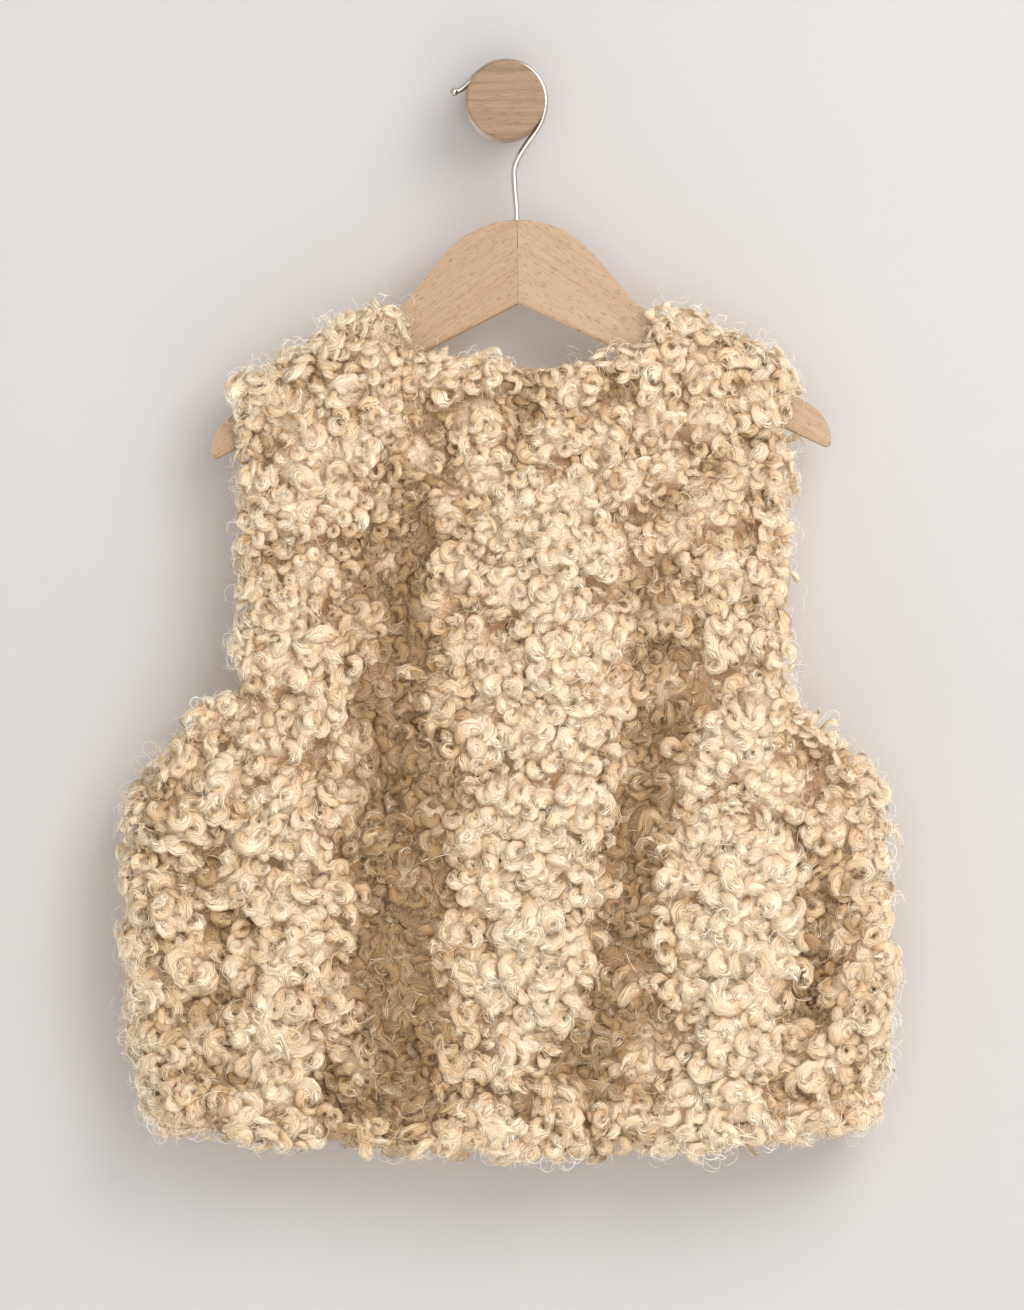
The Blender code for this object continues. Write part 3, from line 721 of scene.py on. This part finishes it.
def at(grid, row, column):
    """A grid's value between its points."""
    i = np.clip(row.astype(int), 0, grid.shape[0] - 2)
    j = np.clip(column.astype(int), 0, grid.shape[1] - 2)
    u, v = (row - i)[:, None], (column - j)[:, None]
    near = grid[i, j] * (1 - v) + grid[i, j + 1] * v
    far = grid[i + 1, j] * (1 - v) + grid[i + 1, j + 1] * v
    return near * (1 - u) + far * u


def scatter(cloth, spacing, rng):
    """Places on a cloth at least `spacing` apart over its pile, as rows and columns of its grid."""
    inner, pile_way, _ = cloth
    skin = inner + PILE * pile_way
    across = np.cross(skin[1:, 1:] - skin[:-1, :-1], skin[1:, :-1] - skin[:-1, 1:])
    area = np.linalg.norm(across, axis=-1).ravel() / 2
    count = int(SCATTER_TRIES * area.sum() / spacing**2)
    cells = rng.choice(area.size, count, p=area / area.sum())
    row = cells // (skin.shape[1] - 1) + rng.random(count)
    column = cells % (skin.shape[1] - 1) + rng.random(count)
    places = at(skin, row, column)
    kept, taken = [], {}
    keys = np.floor(places / spacing).astype(int)
    for index, (key, place) in enumerate(zip(keys.tolist(), places.tolist())):
        near = []
        for dx, dy, dz in NEIGHBOURS:
            near += taken.get((key[0] + dx, key[1] + dy, key[2] + dz), ())
        if all(math.dist(place, other) >= spacing for other in near):
            taken.setdefault(tuple(key), []).append(place)
            kept.append(index)
    return row[kept], column[kept]


def clump_field(cloth, rng):
    """A search tree over clump centres, with their tones and heights."""
    row, column = scatter(cloth, CLUMP_SPACING, rng)
    centres = at(cloth[0] + PILE * cloth[1], row, column)
    tree = kdtree.KDTree(len(centres))
    for index, centre in enumerate(centres):
        tree.insert(centre, index)
    tree.balance()
    return tree, rng.random(len(centres)), rng.random(len(centres))


def clump_height(skin, clumps):
    """The nearest clump's middle and index, and the pile's height beside its full reach."""
    tree, _, heights = clumps
    found = [tree.find(place) for place in skin]
    middle = np.array([tuple(f[0]) for f in found])
    clump = np.array([f[1] for f in found])
    away = np.linalg.norm(skin - middle, axis=1) / CLUMP_RADIUS
    dome = 1 - CLUMP_RELIEF * np.clip(away, 0, 1.2) ** 2
    return middle, clump, dome + 0.10 * (heights[clump] - 0.5) + 0.08


# Locks before they have a surface. For each: its centre line, the direction out of its curl along that line,
# its half thickness, its size and tone, its root, and the direction of the pile there.
Bundle = namedtuple("Bundle", "line outwards thick scale tone root up")


def steps_along(count):
    """The share of a lock's length at each step. The first stands below the second, at the stem's foot."""
    return np.concatenate([[0.0], np.linspace(0.0, 1.0, count - 1)])


def curls(cloth, facing, clumps, kind, row, column, rng, reach_spread=LOCK_REACH_SPREAD):
    """The locks of one kind that are rooted at these places."""
    count = len(row)
    root = at(cloth[0], row, column)
    up = unit(at(cloth[1], row, column))
    skin = root + PILE * up

    # Locks of a clump lean away from its middle, which stands a little higher.
    middle, clump, height = clump_height(skin, clumps)
    lie = at(cloth[2], row, column)[:, 0]
    height = height * (1 + FOLD_RELIEF * lie)
    away = apart_from((skin - middle) / (CLUMP_SPACING * 0.6), up)
    reach = PILE * kind.reach * height * (1 + reach_spread * rng.standard_normal(count).clip(-2, 2))
    lean = unit(up + CLUMP_LEAN * away + LEAN_SPREAD * rng.standard_normal((count, 3)))

    # The curl's own frame: its axis, and two directions across it. A curl leaves outwards and turns down.
    down = np.array([0.0, 0.0, -1.0]) + np.array([0.0, 0.45, 0.0]) * facing * (np.abs(up[:, 2:]) > 0.6)
    down = unit(apart_from(down, lean))
    swing = np.radians(rng.normal(0, SWING_SPREAD_DEG, count))[:, None]
    sideways = np.cross(down, lean)
    down, sideways = (
        down * np.cos(swing) + sideways * np.sin(swing),
        sideways * np.cos(swing) - down * np.sin(swing),
    )
    tilt = np.radians(between(rng, kind.tilt, count))[:, None]
    hand = np.where(rng.random(count) < 0.5, -1.0, 1.0)[:, None]
    axis = unit(lean * np.cos(tilt) + hand * sideways * np.sin(tilt))
    start = -unit(apart_from(down, axis))
    turning = np.cross(axis, start)
    turning *= np.sign(dot(turning, lean + 0.3 * hand * sideways))

    # How far the curl rises above its start decides how high it starts.
    towards_hem = smooth((-skin[:, 2] - 0.28) / 0.26)
    scale = SIZE_LEAST + SIZE_BY_HEM * towards_hem + SIZE_BY_CLUMP * clumps[1][clump]
    radius = scale * between(rng, kind.radius, count)
    turns = between(rng, kind.turns, count)
    thick = scale * between(rng, kind.thick, count) * (1 + 0.15 * lie)
    rolled = np.sin(tilt[:, 0])
    pitch = (1 - rolled) * between(rng, RING_PITCH, count) + rolled * rng.normal(0, ROLL_PITCH_SPREAD, count)
    base = reach - (radius + thick) * rolled - np.maximum(pitch, 0) * np.cos(tilt[:, 0])

    s = steps_along(kind.steps + 1)
    angle = 2 * math.pi * turns[:, None] * s + rng.normal(0, 0.1, (count, 1))
    strength = rng.normal(0, 0.06, (count, 1))
    wave = strength * np.sin(2 * math.pi * (rng.random((count, 1)) + 1.4 * s))
    own_radius = radius[:, None] * (1 - CURL_TIGHTENS * s**1.4 + wave)
    ring = own_radius[..., None] * (
        np.cos(angle)[..., None] * start[:, None, :] + np.sin(angle)[..., None] * turning[:, None, :]
    )
    if kind.sway:  # a lock that waves from side to side along the skin, and dips at both ends
        aside = unit(np.cross(lean, turning))
        swing = radius[:, None] * np.sin(angle * 1.2 + 6 * tilt) * (0.5 + 0.5 * s)
        reach_on = WAVE_LENGTH * turns[:, None] * (s - 0.4)
        bow = WAVE_BOW * (2 * s[:, None] - 0.9) ** 2
        ring = swing[..., None] * aside[:, None, :] + reach_on[..., None] * unit(turning)[:, None, :]
        ring = ring + bow * lean[:, None, :]
        base = reach - thick
    line = ring + (pitch[:, None] * s)[..., None] * axis[:, None, :]
    line += (root + lean * base[:, None] - (1 - kind.sway) * start * radius[:, None])[:, None, :]
    line[:, 0] -= STEM * up  # the stem goes down into the undercoat
    # The tone holds painted shade and light: darker in troughs and low between clumps, paler on ridges, on
    # clump tops and where the pile leans over a border.
    tone = TONE_MIDDLE + SHADE_PAINTED_BY_FOLD * lie + SHADE_PAINTED_BY_HEIGHT * (height - MIDDLE_HEIGHT)
    tone += TONE_BY_CLUMP * clumps[1][clump]
    tone += TONE_SPREAD * rng.normal(0, 1, count)
    tone += BORDER_PAINTED_LIGHT * (1 - np.abs(up[:, 1]))
    outwards = np.broadcast_to(lean[:, None, :], line.shape) if kind.sway else unit(ring)
    return Bundle(line, outwards, thick, scale, tone, root, up)


def rise_from(root, up, points):
    """How high points of each lock stand over its root, along the pile's direction."""
    return dot(points - root[:, None, None], up[:, None, None])


def above_cloth(points, root, up):
    """Points that would come out on the cloth's inner side are moved back into its pile."""
    return points + np.maximum(ROOT_RISE - rise_from(root, up, points), 0) * up[:, None, None]


def grow_cards(bundle, wide, columns, on_face, rng, girth=1.0, stray=False):
    """Each lock as a curved strip round its middle line, open below, with the pattern of its hairs."""
    line, outwards, thick, _, tone, root, up = bundle
    count, steps = line.shape[:2]
    s = steps_along(steps)
    tangent = unit(np.gradient(line, axis=1))
    across = unit(np.cross(tangent, outwards))
    outwards = np.cross(across, tangent)
    swell = (0.50 + 0.50 * smooth(s / 0.30)) * (1 - 0.62 * smooth((s - 0.50) / 0.50))
    lane = np.linspace(-1, 1, columns + 1)
    roll = rng.normal(0, 0.25, (count, 1, 1)) + rng.normal(0, 0.5, (count, 1, 1)) * s[:, None]
    if on_face:  # the side of the ring that is seen from outside the pile
        side = np.sign((across * up[:, None]).sum(axis=(1, 2)))[:, None, None]
        roll = roll + side * FACE_TURN
    angle = GUTTER * lane + roll
    ruffle = 0.05 * rng.standard_normal((count, steps, 1))
    ruffle = ruffle + 0.10 * rng.standard_normal((count, 1, columns + 1))
    size = girth * swell[:, None] * (1 + ruffle)
    points = line[:, :, None, :]
    points = points + (size * thick[:, None, None] * np.cos(angle))[..., None] * outwards[:, :, None, :]
    points = points + (size * wide[:, None, None] * np.sin(angle))[..., None] * across[:, :, None, :]
    points = above_cloth(points, root, up)
    strip = np.floor(SOLID_LANES * tone.clip(0, 0.999))
    if stray:
        strip = rng.integers(SOLID_LANES, LANES, count)
    u = np.broadcast_to((strip[:, None, None] + 0.5 + 0.47 * lane) / LANES, points.shape[:-1])
    v = np.broadcast_to(np.linspace(0, 1, steps)[:, None], points.shape[:-1])
    return points, u, v


def grow_hairs(cloth, facing, clumps, row, column, rng):
    """Single loose hairs, each a narrow ribbon."""
    bundle = curls(cloth, facing, clumps, WISP_KIND, row, column, rng, WISP_REACH_SPREAD)
    line, outwards, thick, _, tone, root, up = bundle
    count, steps = line.shape[:2]
    s = steps_along(steps)
    tangent = unit(np.gradient(line, axis=1))
    flat = unit(np.cross(tangent, outwards))
    roll = rng.uniform(0, math.pi, (count, 1, 1))
    across = flat * np.cos(roll) + np.cross(tangent, flat) * np.sin(roll)
    taper = 1 - 0.75 * smooth((s - 0.5) / 0.5)
    half = (thick[:, None] * between(rng, (0.7, 1.3), (count, 1)) * taper)[..., None] * across
    points = above_cloth(np.stack([line - half, line + half], axis=2), root, up)
    u = np.broadcast_to((0.5 + 0.5 * tone)[:, None, None] + np.array([-0.008, 0.008]), points.shape[:-1])
    v = 0.82 * (rise_from(root, up, points)[..., 0] / PILE) + 0.10 * s[:, None]
    return points, np.clip(u, 0.01, 0.99), np.clip(v, 0, 1)


def keep_clear(points, facing):
    """Moves points out of the wall and out of the hanger's boards, to the panel's own side of them."""
    points[:, 1] = np.minimum(points[:, 1], -WALL_CLEAR)
    x, y, z = points.T
    board = HANGER_THICKNESS / 2 + BOARD_CLEAR
    over = (np.abs(y - MID_Y) < board) & (np.abs(x - HANGER_X) < HANGER_HALF_LENGTH)
    over &= (z < top_edge_line(x) + BOARD_CLEAR) & (z > underside_line(x) - BOARD_CLEAR)
    points[over, 1] = MID_Y + facing * board
    return points


def strip_mesh(name, grown, facing, own_material):
    """One object of many strips or ribbons, with the map that their material reads."""
    points, u, v = grown
    quads = grid_faces(np.arange(u.size).reshape(u.shape))
    made = add_mesh(name, keep_clear(points.reshape(-1, 3), facing), quads, own_material)
    add_map(made.data, BAKE_MAP, u, v, quads)
    made.data.shade_smooth()
    return made


# ---- Cloth ----

UNDERCOAT = 0.55  # how much of the pile's height the dense undercoat fills
UNDERCOAT_SWELL = 0.0009


def cloth_mesh(name, cloth, clumps, rng):
    """The backing cloth with its undercoat, closed into one thin wall."""
    inner, pile_way, lie = cloth
    rows, columns = inner.shape[:2]
    swell = rng.standard_normal((rows // 3 + 2, columns // 3 + 2, 1))
    row, column = np.meshgrid(np.arange(rows) / 3, np.arange(columns) / 3, indexing="ij")
    swell = at(swell, row.ravel(), column.ravel()).reshape(rows, columns, 1)
    skin = (inner + PILE * pile_way).reshape(-1, 3)
    height = clump_height(skin, clumps)[2].reshape(rows, columns, 1) * (1 + FOLD_RELIEF * lie)
    outer = inner + (UNDERCOAT * PILE * height + UNDERCOAT_SWELL * swell.clip(-1.5, 1.5)) * pile_way
    points = np.concatenate([inner.reshape(-1, 3), outer.reshape(-1, 3)])
    index = np.arange(rows * columns).reshape(rows, columns)
    sheet = grid_faces(index)
    border = np.concatenate([index[0], index[1:, -1], index[-1, -2::-1], index[-2:0:-1, 0]])
    ahead = np.roll(border, -1)
    shift = rows * columns
    rim = np.stack([border, ahead, ahead + shift, border + shift], axis=-1)
    quads = np.concatenate([sheet[:, ::-1], sheet + shift, rim])
    made = add_mesh(name, points, quads, backing, undercoat)
    mesh = made.data
    # Painted shade for the undercoat: darker where the pile is low and in the folds' troughs.
    depth = np.clip((height - 0.45) / 0.65 + 0.25 * lie, 0, 1).reshape(-1)
    add_map(mesh, PILE_MAP, np.tile(0.5 + 0.5 * lie.reshape(-1), 2), np.tile(depth, 2), quads)
    slots = np.concatenate([np.zeros(len(sheet)), np.ones(len(sheet) + len(rim))]).astype(np.int32)
    mesh.polygons.foreach_set("material_index", slots)
    bm = bmesh.new()
    bm.from_mesh(mesh)
    bmesh.ops.recalc_face_normals(bm, faces=bm.faces)
    bm.to_mesh(mesh)
    bm.free()
    mesh.shade_smooth()
    return made


# ---- Panels ----

PIECE_TRIANGLES = 190000
LOCK_SPACING = 0.0045
WISP_SPACING = 0.0025
BORDER_STANDS = 0.80  # the pile leans over a border where it stands less than this towards the room
INNER_WISPS = 0.22  # the share of loose hairs that stay away from the borders

fur = material("curly_fur", lock_surface)
hair = material("loose_hairs", loose_hair_surface)
undercoat = material("fur_undercoat", undercoat_surface)
backing = material("knitted_backing", backing_surface)


def build_locks(prefix, cloth, clumps, facing, slot, rng, lock_spacing, wisp_spacing):
    """Every lock and loose hair of a panel, as objects of at most PIECE_TRIANGLES each."""
    row, column = scatter(cloth, lock_spacing, rng)
    chosen = rng.choice(len(KINDS), len(row), p=[kind.share for kind in KINDS.values()])
    made = []
    for index, (kind_name, kind) in enumerate(KINDS.items()):
        mine = np.flatnonzero(chosen == index)
        parts = math.ceil(len(mine) * kind.columns * kind.steps * 2 / PIECE_TRIANGLES)
        for part in range(parts):
            own = mine[part::parts]
            bundle = curls(cloth, facing, clumps, kind, row[own], column[own], rng)
            wide = bundle.scale * between(rng, kind.wide, len(own))
            grown = grow_cards(bundle, wide, kind.columns, kind.facing, rng)
            made.append(strip_mesh(f"{prefix}_{kind_name}_curls_{part + 1}", grown, facing, fur))
            some = Bundle(*(value[::2] for value in bundle))
            grown = grow_cards(some, wide[::2], 2, kind.facing, rng, STRAY_GIRTH, True)
            made.append(strip_mesh(f"{prefix}_{kind_name}_strays_{part + 1}", grown, facing, fur))
    row, column = scatter(cloth, wisp_spacing, rng)
    stands = np.abs(unit(at(cloth[1], row, column))[:, 1])
    kept = (stands < BORDER_STANDS) | (rng.random(len(row)) < INNER_WISPS)
    row, column = row[kept], column[kept]
    grown = grow_hairs(cloth, facing, clumps, row, column, rng)
    made.append(strip_mesh(f"{prefix}_wisps", grown, facing, hair))
    for piece in made:
        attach(piece, "root")
    return made


def build_panel(node_name, sides, facing, neck, folds, painted_light_bands, slot, seed, spacings):
    """One panel of the gilet: its cloth, which stands for the CAD node, and the locks rooted in it."""
    rng = np.random.default_rng(seed)
    cloth = panel_grid(panel_columns(sides), facing, *neck, folds, painted_light_bands, len(sides) == 1)
    clumps = clump_field(cloth, rng)
    panel = cloth_mesh(f"{node_name}_cloth", cloth, clumps, rng)
    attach(panel, "root")
    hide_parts(node_name)
    locks = build_locks(node_name, cloth, clumps, facing, slot, rng, *spacings)


BACK_SEED = 11
FRONTS_SEED = 20
BACK_SPACINGS = (LOCK_SPACING, WISP_SPACING)
FRONT_SPACINGS = (1.42 * LOCK_SPACING, 1.5 * WISP_SPACING)  # wider, to keep within the limit on triangles

build_panel(
    "back_panel", (-1, 1), -1, (BACK_NECK_DEPTH, BACK_NECK_POWER), BACK_FOLDS, BACK_PAINTED_LIGHT_BANDS,
    "fur_back", BACK_SEED, BACK_SPACINGS,
)
for front_name, front_side in (("front_left", -1), ("front_right", 1)):
    build_panel(
        front_name, (front_side,), 1, (FRONT_NECK_DEPTH, FRONT_NECK_POWER), FRONT_FOLDS, (),
        "fur_fronts", FRONTS_SEED + front_side, FRONT_SPACINGS,
    )

# ---- Wood and steel ----

DARK_FLECKS = ((0.60, (1.0, 1.0, 1.0)), (0.66, (0.60, 0.47, 0.36)))
GRAIN_STEEPER_DEG = 8  # how much steeper than the arms the grain lies
PALE_FLECKS = ((0.34, (1.0, 1.0, 1.0)), (0.42, (0.93, 0.90, 0.87)))


def wood_surface(tree, turn, colours, fleck_strength, line_scale):
    """Beech: fine lines along one direction, with short dark flecks. `turn` lays X on the grain."""
    laid = node(tree, "Mapping", {"Vector": object_place(tree), "Rotation": (0.0, turn, 0.0)}).outputs[0]

    def streaks(scale, detail):
        """A noise drawn out along the grain."""
        drawn = node(tree, "Mapping", {"Vector": laid, "Scale": scale}).outputs[0]
        return noise(tree, drawn, 1.0, detail)

    lines = streaks((12.0, line_scale, line_scale), 3.0)
    bands = streaks((4.0, 70.0, 70.0), 2.0)
    level = maths(tree, "MULTIPLY_ADD", bands, 0.3, times(tree, lines, 0.7))
    dark = ramp(tree, streaks((190.0, 1900.0, 1900.0), 1.0), DARK_FLECKS)
    colour = tint(tree, ramp(tree, level, colours), dark, fleck_strength)
    pale = ramp(tree, streaks((120.0, 1500.0, 1500.0), 1.0), PALE_FLECKS)
    colour = tint(tree, colour, pale, 0.8)
    lacquer = {"Specular IOR Level": 0.35, "Coat Weight": 0.08, "Coat Roughness": 0.40}
    return principled(tree, colour, 0.50, {"Normal": bump(tree, lines, 0.15, 0.0002), **lacquer})


def steel_surface(tree):
    """Satin nickel on the hook's wire, a little uneven in colour and polish."""
    cloud = noise(tree, object_place(tree), 90.0, 1.0)
    rough = node(tree, "MapRange", {"Value": cloud, "To Min": 0.22, "To Max": 0.25}).outputs["Result"]
    return principled(tree, ramp(tree, cloud, NICKEL), rough, {"Metallic": 1.0})


NICKEL = ((0.3, (0.53, 0.50, 0.45)), (0.7, (0.60, 0.57, 0.52)))
BEECH_LEFT = ((0.34, (0.368, 0.243, 0.146)), (0.50, (0.408, 0.281, 0.178)), (0.66, (0.432, 0.303, 0.198)))
# The right half's beech is painted paler than the left's: painted light from the lamp on the right.
BEECH_RIGHT_PAINTED_LIGHTER = ((0.34, (0.408, 0.279, 0.175)), (0.50, (0.446, 0.314, 0.207)), (0.66, (0.475, 0.341, 0.232)))
PEG_BEECH = ((0.36, (0.232, 0.150, 0.088)), (0.50, (0.305, 0.203, 0.124)), (0.64, (0.335, 0.229, 0.146)))


def dress(node_name, own_material):
    """Gives a CAD node that stays its finished material."""
    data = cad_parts[node_name].data
    data.materials.clear()
    data.materials.append(own_material)


grain_slope = math.radians(ARM_UNDERSIDE_DEG + GRAIN_STEEPER_DEG)
dress("hanger_left", material("beech_left", wood_surface, grain_slope, BEECH_LEFT, 0.9, 420.0))
dress("hanger_right", material("beech_right_painted_lighter", wood_surface, -grain_slope, BEECH_RIGHT_PAINTED_LIGHTER, 0.9, 420.0))
dress("wall_peg", material("beech_peg", wood_surface, 0.0, PEG_BEECH, 0.5, 330.0))

# ---- Hook ----

WIRE_RADIUS = 0.00175
BALL_RADIUS = 0.0025
LOOP_RADIUS = 0.0222
LOOP_CENTRE_X = 0.0005
LOOP_FROM_DEG = 122
LOOP_TO_DEG = -14
WIRE_SIDES = 20
WIRE_RINGS = 200
BALL_RINGS = 12
BALL_START_ANGLE = 0.12  # in radians, round the ball from its far end
LOOP_ROUTE_POINTS = 12
ROUTE_STEPS = 12  # points of the curve between two points of the route
WIRE_SOCKET_DEPTH = 0.016


def smooth_route(route):
    """Close points along a smooth curve through the route's own points, and their distances along it."""
    ends = [2 * route[0] - route[1], *route, 2 * route[-1] - route[-2]]
    points = []
    for a, b, c, d in zip(ends, ends[1:], ends[2:], ends[3:]):
        for t in np.linspace(0, 1, ROUTE_STEPS, endpoint=False):
            bend = (2 * a - 5 * b + 4 * c - d) * t**2 + (3 * b - a - 3 * c + d) * t**3
            points.append(b + 0.5 * ((c - a) * t + bend))
    points = np.array([*points, route[-1]])
    steps = np.linalg.norm(np.diff(points, axis=0), axis=1)
    return points, np.concatenate([[0], np.cumsum(steps)])


def hook_route():
    """The wire's centre line in X and Z, from its ball, over the peg's neck and down into the hanger."""
    route = [(-0.0314, 0.0043), (-0.0285, 0.0051), (-0.0256, 0.0062), (-0.0218, 0.0090), (-0.0166, 0.0146)]
    for angle in np.radians(np.linspace(LOOP_FROM_DEG, LOOP_TO_DEG, LOOP_ROUTE_POINTS)):
        route.append((LOOP_CENTRE_X + LOOP_RADIUS * math.cos(angle), LOOP_RADIUS * math.sin(angle)))
    route += [(0.0203, -0.0115), (0.0170, -0.0175), (0.0122, -0.0243), (0.0077, -0.0315), (0.0052, -0.0378)]
    route += [(0.0050, -0.0440), (0.0055, -0.0520), (0.0062, -0.0600), (HANGER_X, HANGER_TOP_Z)]
    route.append((HANGER_X, HANGER_TOP_Z - WIRE_SOCKET_DEPTH))
    return [np.array(point) for point in route]


def build_hook():
    """The CAD hook's tube with more rings and sides, which is round in a close view."""
    line, distance = smooth_route(hook_route())
    leaves = math.pi - math.asin(WIRE_RADIUS / BALL_RADIUS)
    around = np.linspace(BALL_START_ANGLE, leaves, BALL_RINGS)
    ball_end = BALL_RADIUS * (1 - math.cos(leaves))
    after_ball = np.linspace(ball_end, distance[-1], WIRE_RINGS)[1:]
    along = np.concatenate([BALL_RADIUS * (1 - np.cos(around)), after_ball])
    radii = np.concatenate([BALL_RADIUS * np.sin(around), np.full(len(after_ball), WIRE_RADIUS)])
    points = np.column_stack([np.interp(along, distance, line[:, axis]) for axis in range(2)])
    tangents = np.gradient(points, axis=0)
    tangents /= np.linalg.norm(tangents, axis=1)[:, None]
    angles = 2 * math.pi * np.arange(WIRE_SIDES) / WIRE_SIDES
    rings = []
    for (x, z), (along_x, along_z), radius in zip(points, tangents, radii):
        side = radius * np.cos(angles)
        y = MID_Y + radius * np.sin(angles)
        rings.append(np.column_stack([x - along_z * side, y, z + along_x * side]))
    index = np.arange(len(rings) * WIRE_SIDES).reshape(len(rings), WIRE_SIDES)
    quads = grid_faces(np.hstack([index, index[:, :1]])).tolist()
    caps = [index[0].tolist()[::-1], index[-1].tolist()]
    nickel = material("satin_nickel", steel_surface)
    wire = add_mesh("hook_wire", np.concatenate(rings), quads + caps, nickel)
    wire.data.shade_smooth()
    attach(wire, "root")
    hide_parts("hook")


build_hook()

# ---- Room, light and camera ----

FOCAL_MM = 400.0
SENSOR_MM = 36.0
FRAME_HEIGHT = 0.740  # what the photograph shows from top to bottom, at the gilet's depth
FRAME_CENTRE = (0.0037, -0.3134)
SUBJECT_Y = -0.050
WALL_Y = 0.0004  # just behind the peg's back face
FLOOR_Z = -1.10
ROOM_HALF_WIDTH = 3.0
ROOM_HEIGHT = 2.5
WALL_PAINT = (0.526, 0.511, 0.505)
FLOOR_PAINT = (0.80, 0.78, 0.76)
LIT_PLACE = (0.0, 0.0, -0.32)
LIGHTS = (  # name, place, size, watts and colour
    ("key", (1.00, -2.00, 0.90), 1.6, 33, (1.0, 0.975, 0.95)),
    ("fill", (0.3, -2.3, -0.4), 2.4, 28, (1.0, 0.99, 0.98)),
    ("behind_right", (0.9, 1.7, 0.6), 1.4, 36, (1.0, 0.98, 0.96)),
    ("behind_left", (-0.9, 1.5, -1.0), 1.4, 36, (1.0, 0.98, 0.96)),
)
WORLD_STRENGTH = 0.68


def painted_surface(tree, colour, roughness, one_sided):
    """Pale paint. Where it is one-sided, it isn't there for rays that come from behind it."""
    cloud = noise(tree, object_place(tree), 2.0, 3.0)
    pale = tuple(0.97 * c for c in colour)
    tone = ramp(tree, cloud, ((0.3, pale), (0.7, colour)))
    shown = principled(tree, tone, roughness, {"Specular IOR Level": 0.2})
    if one_sided:
        behind = node(tree, "NewGeometry").outputs["Backfacing"]
        clear = node(tree, "BsdfTransparent").outputs[0]
        shown = node(tree, "MixShader", {0: behind, 1: shown, 2: clear}).outputs[0]
    return shown


def build_room():
    w, low, high = ROOM_HALF_WIDTH, FLOOR_Z, ROOM_HEIGHT
    paint = material("wall_paint", painted_surface, WALL_PAINT, 0.9, True)
    corners = [(-w, WALL_Y, low), (w, WALL_Y, low), (w, WALL_Y, high), (-w, WALL_Y, high)]
    wall = add_mesh("backdrop_wall", corners, [(0, 1, 2, 3)], paint)
    wall.visible_shadow = False
    paint = material("floor_paint", painted_surface, FLOOR_PAINT, 0.8, False)
    corners = [(-w, -w, low), (w, -w, low), (w, w, low), (-w, w, low)]
    add_mesh("floor", corners, [(0, 1, 2, 3)], paint)


def build_lights():
    for name, place, size, watts, colour in LIGHTS:
        lamp = bpy.data.lights.new(name, "AREA")
        lamp.shape = "DISK"
        lamp.size = size
        lamp.energy = watts
        lamp.color = colour
        light = add_object(name, lamp)
        light.location = place
        light.rotation_euler = (Vector(LIT_PLACE) - Vector(place)).to_track_quat("-Z", "Y").to_euler()
    world = bpy.data.worlds.new("studio")
    world.use_nodes = True
    background = world.node_tree.nodes["Background"].inputs
    background["Color"].default_value = (1.0, 0.99, 0.98, 1.0)
    background["Strength"].default_value = WORLD_STRENGTH
    bpy.context.scene.world = world


def build_camera():
    data = bpy.data.cameras.new("camera")
    data.sensor_width = SENSOR_MM
    data.lens = FOCAL_MM
    away = FRAME_HEIGHT * FOCAL_MM / SENSOR_MM
    camera = add_object("camera", data)
    camera.location = (FRAME_CENTRE[0], SUBJECT_Y - away, FRAME_CENTRE[1])
    camera.rotation_euler = (math.pi / 2, 0.0, 0.0)
    bpy.context.scene.camera = camera


build_room()
build_lights()
build_camera()
bpy.context.scene.view_settings.view_transform = "Standard"
bpy.context.scene.cycles.transparent_max_bounces = 16  # the locks' soft edges lie many deep
